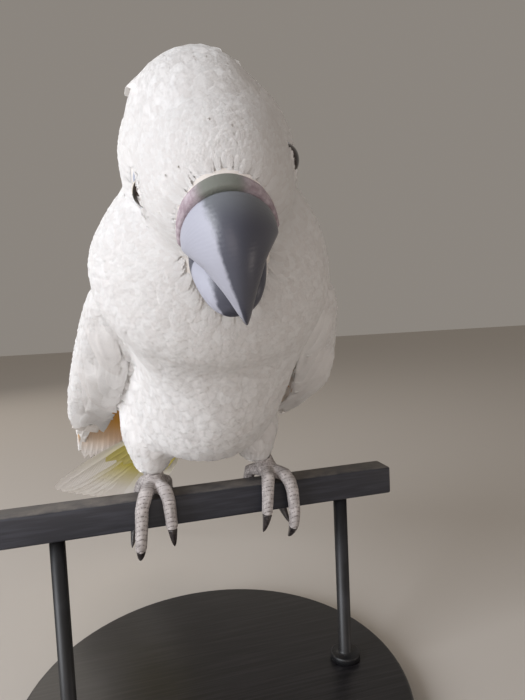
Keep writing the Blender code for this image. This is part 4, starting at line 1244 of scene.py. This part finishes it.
# long feathers over the front of the wing: height of their roots and their length
FOLDS = ((187 * MM, 76 * MM), (199 * MM, 68 * MM), (213 * MM, 56 * MM), (229 * MM, 46 * MM))
FOLD_PLAN = vane_plan(12, 0.05, 0.03)
FOLD_COLUMNS = 8
FOLD_FIRST = 37 * MM         # the innermost root, from the bird's middle
FOLD_STEP = 5.0 * MM
FOLD_HALF_WIDTH = 5.2 * MM
FOLD_LIFT = 1.2 * MM
for side, outward in (("left", (1, 0, 0.3)), ("right", (-1, 0, 0.3))):
    sheet = wing_sheet(side)
    hand = handed(sheet[:, :21], outward)
    vanes, washes = [], []
    # the primaries, from the innermost to the outermost, along the lower edge
    for start, end in zip(row_of(10, (0.34, 0.31), (0.24, 0.45)), PRIMARY_ENDS):
        vanes.append(long_vane(sheet, hand, start, end, 9.5 * MM, -0.3 * MM, dive=1.0 * MM, lead=0.30,
                               bow=0.01))
        washes.append((0.0, 0.1))
    # the secondaries, from the lower edge up to the tertials on the back
    for start, end in zip(row_of(11, (0.30, 0.33), (0.40, 0.06)),
                          row_of(11, (0.79, 0.25), (0.68, 0.035), 0.9)):
        vanes.append(long_vane(sheet, hand, start, end, 11.0 * MM, 0.1 * MM, dive=1.0 * MM, lead=0.20,
                               roll=0.5 * MM))
        washes.append((0.0, 0.3))
    # their undersides, laid on the inner face
    for start, end in zip(row_of(11, (0.28, 0.56), (0.34, 0.92)), row_of(11, (0.97, 0.56), (0.58, 0.93))):
        vanes.append(long_vane(sheet, hand, start, end, 9.5 * MM, 0.1 * MM, dive=0.6 * MM, lead=-0.30,
                               roll=-0.45 * MM))
        washes.append((inner_wash(start[1]), 0.0))
    for count, first, last, reach, width, lift, wash in OUTER_COVERTS + INNER_COVERTS:
        for start in row_of(count, first, last):
            turn_in = -0.015 if first[1] < 0.5 else 0.015
            end = (start[0] + reach + rng.uniform(-0.008, 0.008), start[1] + turn_in)
            vanes.append(long_vane(sheet, hand, start, end, width, lift, dive=1.2 * MM, roll=0.4 * MM, rows=9,
                                   shape_of=SOFT_SHAPE, lead=0.15))
            washes.append((wash * inner_wash(start[1]), 0.0))
    (front_out, front_in), (back_out, back_in) = TERTIALS[side]
    hanging = np.zeros((7, 5, 3))
    for i in range(7):
        for j in range(5):
            u, v = i / 6, j / 4
            front = Vector(front_out).lerp(Vector(front_in), v)
            back = Vector(back_out).lerp(Vector(back_in), v)
            hanging[i, j] = (front.lerp(back, u) + Vector((0, 0, 5 * sin(pi * u)))) * MM
    under_hand = handed(hanging, (0, 0, 1))
    for start, end in zip(row_of(8, (0.0, 0.06), (0.0, 0.94)), row_of(8, (1.0, 0.04), (0.93, 0.96))):
        vanes.append(long_vane(hanging, under_hand, start, end, 5.5 * MM, 0.0, roll=0.5 * MM, bow=0.02,
                               shape_of=SOFT_SHAPE))
        washes.append((0.0, 0.7 + 0.3 * start[1], (0.0, 0.25, 0.60, 0.80, 0.92), (0.6, 1.0, 1.0, 0.5, 0.1)))
    # the long feathers round the leading edge
    for start, end in zip(row_of(6, (0.05, 0.56), (0.12, 0.36)), row_of(6, (0.72, 0.545), (0.66, 0.36))):
        vanes.append(long_vane(sheet, hand, start, end, 7.0 * MM, 0.8 * MM, dive=1.6 * MM, lead=0.2,
                               roll=0.5 * MM, shape_of=SOFT_SHAPE))
        washes.append((0.0, 0.6))
    vane_piece("wing_feathers_" + side, vanes, wing_quills, washes, "wing_" + side)
    sign = 1 if side == "left" else -1
    roots, lengths, runs, places = [], [], [], []
    for row, (height, length) in enumerate(FOLDS):
        for k in range(FOLD_COLUMNS):
            across = sign * (FOLD_FIRST + FOLD_STEP * (k + 0.5 * (row % 2)))
            spot = trees["wing_" + side].ray_cast(Vector((across, -0.3, height)), Vector((0, 1, 0)))[0]
            if spot is None:
                continue
            roots.append(tuple(spot))
            lengths.append(length * rng.uniform(0.93, 1.05) * (0.62 + 0.38 * min(k / 5, 1)))
            runs.append((sign * (0.40 - 0.045 * k), 0.25, -1.0))
            on_skin, _, index, _ = skin_tree.find_nearest(spot)
            places.append(map_place(index, on_skin))
    lengths = np.array(lengths)
    same = np.ones(len(roots))
    placed, facing = drape(trees["wing_" + side], np.array(roots), np.array(runs), lengths,
                           same * FOLD_HALF_WIDTH, same * FOLD_LIFT, FOLD_PLAN,
                           sign * 0.07 + rng.normal(0, 0.01, len(roots)))
    feather_piece("wing_folds_" + side, [(placed, facing, FOLD_PLAN, np.array(places),
                                          rng.uniform(0, 1, len(roots)))], plumage)

# ---------------------------------------------------------------------------------------
# The tail.  Twelve broad feathers, half spread, the middle pair on top and each outer one
# tucked under the next, white above and lemon yellow underneath towards their roots.
# ---------------------------------------------------------------------------------------

TAIL_ROOT = Vector((-0.0130, 0.0950, 0.1410))
TAIL_TIP = Vector((-0.0740, 0.2300, 0.0575))
TAIL_HALF_WIDTHS = (17 * MM, 47 * MM)
TAIL_ROLL = radians(25.0)
TAIL_CAMBER = 4 * MM
TAIL_FEATHER = 10.5 * MM
ahead = (TAIL_TIP - TAIL_ROOT).normalized()
beside = Matrix.Rotation(TAIL_ROLL, 3, ahead) @ ahead.cross(Vector((0, 0, 1))).normalized()
above = beside.cross(ahead)
sheet = np.zeros((12, 13, 3))
for i in range(12):
    share = i / 11
    width = TAIL_HALF_WIDTHS[0] + (TAIL_HALF_WIDTHS[1] - TAIL_HALF_WIDTHS[0]) * share ** 0.8
    for j in range(13):
        s = j / 6 - 1
        sheet[i, j] = (TAIL_ROOT + (TAIL_TIP - TAIL_ROOT) * share + beside * (width * s)
                       + above * (1.0 * MM - TAIL_CAMBER * share * s * s))
hand = handed(sheet, above)
vanes, washes = [], []
for k in (5, 4, 3, 2, 1, 0):
    for sign in (-1, 1):
        share = (k + 0.5) / 5.5 * sign
        end = (0.995 - 0.10 * (1 - (1 - abs(share * 0.93) ** 2.5) ** 0.5), 0.5 + 0.5 * share * 0.80)
        start = (0.06, 0.5 + 0.5 * share * 0.70)
        vanes.append(long_vane(sheet, hand, start, end, TAIL_FEATHER, 0.25 * MM - 0.18 * MM * k,
                               roll=0.40 * MM * sign, dive=1.0 * MM, lead=0.15 * sign, bow=0.006 * sign))
        washes.append((0.0, (1.0, 1.0, 1.0, 1.0, 0.7, 0.2)[k], (0.0, 0.35, 0.55, 0.75),
                       (1.0, 1.0, 0.5, 0.05)))
# the coverts that close its root above and below
for level, hang, count, reach in ((2.2 * MM, 0.0, 7, 0.30), (-2.8 * MM, 1.0, 7, 0.40)):
    for start in row_of(count, (0.0, 0.22), (0.0, 0.78)):
        end = (reach + rng.uniform(-0.02, 0.02), start[1] + (start[1] - 0.5) * 0.25)
        vanes.append(long_vane(sheet, hand, (start[0] - 0.06, start[1]), end, 6.5 * MM, level, rows=9,
                               roll=0.3 * MM, shape_of=SOFT_SHAPE))
        washes.append((hang, hang, (0.0, 1.0), (1.0, 0.8)))
vane_piece("tail_feathers", vanes, tail_quills, washes, "tail")

# ---------------------------------------------------------------------------------------
# The crest.  Folded back over the crown: broad, soft, white plumes in three sheaves, rooted
# on the forehead and lifting off the nape towards their tips.
# ---------------------------------------------------------------------------------------

CREST_ROLL = 14.7            # how fast the sheaves roll outwards, per metre from the middle
# root and tip as (left, forward, up), half width, thickness and rise of each sheaf, and its plumes
SHEAVES = (((-8.0, 10.0, 16.0), (-23.5, -70.0, 16.0), 8.5, 1.8, 13.0, 6),
           ((6.0, 10.0, 16.5), (11.0, -74.0, 18.0), 8.5, 1.8, 12.5, 6),
           ((-1.0, 14.0, 18.0), (-3.0, -84.0, 19.0), 12.5, 2.2, 15.0, 8))
vanes = []
for start, end, half_width, thickness, rise, count in SHEAVES:
    sheet = np.zeros((15, 9, 3))
    for i in range(15):
        t = i / 14
        left, forward, up = [(a + (b - a) * t) * MM for a, b in zip(start, end)]
        up += rise * MM * sin(pi * t ** 0.8)
        middle, across = in_head(left, forward, up), head_axis(1, 0, -CREST_ROLL * left)
        for j in range(9):
            s = j / 4 - 1
            sheet[i, j] = (middle + across * (half_width * MM * s)
                           + head_axis(0, 0.1, 1) * (thickness * MM * (0.8 - 0.9 * s * s)))
    hand = handed(sheet, head_axis(0, 0, 1))
    for k in range(count):
        share = (k + 0.5) / count * 2 - 1
        order = 1 - abs(share)
        begin = (0.03 * abs(share), 0.5 + 0.5 * share * 0.75)
        finish = (0.90 + 0.09 * order + rng.uniform(-0.02, 0.0), 0.5 + 0.5 * share * 0.72)
        vanes.append(long_vane(sheet, hand, begin, finish, half_width * MM * 0.40,
                               -0.6 * MM + 0.7 * MM * order, roll=0.35 * MM * (1 if share > 0 else -1),
                               dive=5.0 * MM, shape_of=SOFT_SHAPE, ragged=0.14))
vane_piece("crest_plumes", vanes, plumage, [(0.0, 0.0)] * len(vanes), "crest")

# ---------------------------------------------------------------------------------------
# The crown's cap.  Short soft feathers that close over the roots of the crest, on a smooth
# surface that runs from the forehead up on to the plumes.
# ---------------------------------------------------------------------------------------

CROWN_MIDDLE = in_head(0, -8 * MM, 0)
CROWN_FRONT, CROWN_BACK, CROWN_SIDE = radians(42), radians(134), radians(66)
CAP_LIFT = 0.8 * MM          # of the surface over the plumes
CAP_ROWS, CAP_COLUMNS = 27, 31
CAP_STEPS = 20               # of the surface's grid, each way
crest_tree = BVHTree.FromBMesh(copy_of("crest"))


def from_middle(spot):
    """How far a point is from the middle of the crown."""
    return (spot - CROWN_MIDDLE).length


sheet = np.zeros((CAP_STEPS + 1, CAP_STEPS + 1, 3))
for i in range(CAP_STEPS + 1):
    for j in range(CAP_STEPS + 1):
        pitch = CROWN_FRONT + (CROWN_BACK - CROWN_FRONT) * i / CAP_STEPS
        roll = CROWN_SIDE * (2 * j / CAP_STEPS - 1)
        way = head_axis(sin(roll), cos(roll) * cos(pitch), cos(roll) * sin(pitch))
        low, high = [tree.ray_cast(CROWN_MIDDLE + way * 0.15, -way)[0] for tree in (outline, crest_tree)]
        sheet[i, j] = low if high is None else max(high + way * CAP_LIFT, low, key=from_middle)
sheet = relaxed(sheet, 5)
cap = bmesh.new()
corners = [[cap.verts.new(spot) for spot in row] for row in sheet]
for i in range(CAP_STEPS):
    for j in range(CAP_STEPS):
        cap.faces.new((corners[i][j], corners[i][j + 1], corners[i + 1][j + 1], corners[i + 1][j]))
cap.normal_update()
if sum((face.normal for face in cap.faces), Vector()).dot(head_axis(0, 0, 1)) < 0:
    bmesh.ops.reverse_faces(cap, faces=cap.faces)
cap_tree = BVHTree.FromBMesh(cap)
roots, picks = [], []
for row in range(CAP_ROWS):
    for k in range(CAP_COLUMNS):
        u = 0.02 + 0.84 * row / CAP_ROWS + rng.uniform(-0.01, 0.01)
        v = 0.02 + 0.96 * (k + 0.5 * (row % 2)) / CAP_COLUMNS + rng.uniform(-0.01, 0.01)
        spot = on_sheet(sheet, np.array([u]), np.array([v]))[0]
        roots.append(spot)
        picks.append(skin_tree.find_nearest(Vector(spot)))
runs = np.array([tuple(head_axis(0, -1, 0.1))] * len(roots)) + rng.normal(0, 0.08, (len(roots), 3))
lengths = np.interp([(TO_HEAD @ Vector(root)).y for root in roots], (-20 * MM, 25 * MM), (8 * MM, 16 * MM))
lengths = lengths * rng.uniform(0.85, 1.12, len(roots))
placed, facing = drape(cap_tree, np.array(roots), runs, lengths, lengths * 0.27,
                       rng.uniform(0.15, 0.45, len(roots)) * MM, PLANS["body"],
                       rng.normal(0, 0.02, len(roots)))
places = np.array([map_place(index, spot) for spot, normal, index, gap in picks])
feather_piece("coat_cap", [(placed, facing, PLANS["body"], places, rng.uniform(0, 1, len(roots)))], plumage)

# ---------------------------------------------------------------------------------------
# The feet.  Dusty grey, two toes forward and two back round the bar, with a row of plates
# down each toe and fine grains between and beneath; the claws are smooth dark horn.
# ---------------------------------------------------------------------------------------

FOOT_VOXEL = 0.5 * MM
PLATE = 2.3 * MM             # length of a plate along a toe
PLATE_HEIGHT = 0.20 * MM
GRAIN = 1.0 * MM
GRAIN_HEIGHT = 0.10 * MM

# dry scaled skin: dull plates, pale with powder, and darker creases between them
foot_skin, foot_shader = new_look("dusty grey scaled foot", "#8f8784", 0.72, Specular_IOR_Level=0.3)
coords = add_node(foot_skin, "TexCoord", output="Object")
crease = add_node(foot_skin, "Attribute", attribute_name="crease", output="Fac")
dust = add_node(foot_skin, "TexNoise", {"Vector": coords, "Scale": 1 / (4 * MM), "Detail": 4.0})
dusted = add_node(foot_skin, "MapRange", {0: dust, 1: 0.3, 2: 0.7}, interpolation_type='SMOOTHSTEP')
plate_tint = add_node(foot_skin, "Mix", {0: dusted, 6: "#a59f9d", 7: "#c8c2c0"}, 2, data_type='RGBA')
link(foot_skin, add_node(foot_skin, "Mix", {0: crease, 6: plate_tint, 7: "#5c5452"}, 2, data_type='RGBA'),
     foot_shader, "Base Color")
pits = add_node(foot_skin, "TexNoise", {"Vector": coords, "Scale": 1 / (0.4 * MM), "Detail": 3.0})
link(foot_skin, add_node(foot_skin, "Bump", {"Height": pits, "Distance": 0.05 * MM, "Strength": 0.6}),
     foot_shader, "Normal")

# claws are polished by wear: dark, smooth and half glossy, streaked along
claw_horn, claw_shader = new_look("dark claw horn", "#2b2627", 0.38, Coat_Weight=0.2, Coat_Roughness=0.25)
coords = add_node(claw_horn, "TexCoord", output="Object")
streak = add_node(claw_horn, "TexNoise", {"Vector": coords, "Scale": 1 / (1.2 * MM), "Detail": 4.0})
streaked = add_node(claw_horn, "MapRange", {0: streak, 1: 0.35, 2: 0.7}, interpolation_type='SMOOTHSTEP')
link(claw_horn, add_node(claw_horn, "Mix", {0: streaked, 6: "#221e20", 7: "#4a4341"}, 2,
                         data_type='RGBA'), claw_shader, "Base Color")

bar_low, bar_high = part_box("perch_bar")
bar_middle = (bar_low + bar_high) / 2
for side in ("left", "right"):
    foot = remeshed(copy_of("foot_" + side), "foot", FOOT_VOXEL)
    smoothed(foot, foot.verts, 7)
    foot.normal_update()
    creases, moves = [], []
    for vert in foot.verts:
        out = vert.co - bar_middle
        away = Vector((0, out.y, out.z)).normalized()
        facing = smooth_step(vert.normal.dot(away), 0.35, 0.75)
        run = (abs(out.y) - out.z) / PLATE
        saw = run - np.floor(run)
        plate = smooth_step(saw, 0.0, 0.22) * (1 - 0.35 * saw)
        spots = noise.voronoi(vert.co / GRAIN)[0]
        grain = smooth_step(spots[1] - spots[0], 0.0, 0.35)
        moves.append(PLATE_HEIGHT * plate * facing + GRAIN_HEIGHT * grain * (1 - facing))
        creases.append((1 - smooth_step(plate, 0.1, 0.8)) * facing + (1 - grain) * (1 - facing) * 0.7)
    for vert, move in zip(foot.verts, moves):
        vert.co += vert.normal * move
    piece = place("scaled_foot_" + side, foot, foot_skin)
    piece.data.attributes.new("crease", 'FLOAT', 'POINT').data.foreach_set("value", creases)
    finish_piece(piece, "foot", "foot_" + side)
    for toe in ("inner_front", "inner_back", "outer_front", "outer_back"):
        name = "claw_" + side + "_" + toe
        claw = remeshed(copy_of(name), "claw", 0.3 * MM)
        smoothed(claw, claw.verts, 5)
        piece = place("horn_" + name, claw, claw_horn)
        finish_piece(piece, "claw", name)
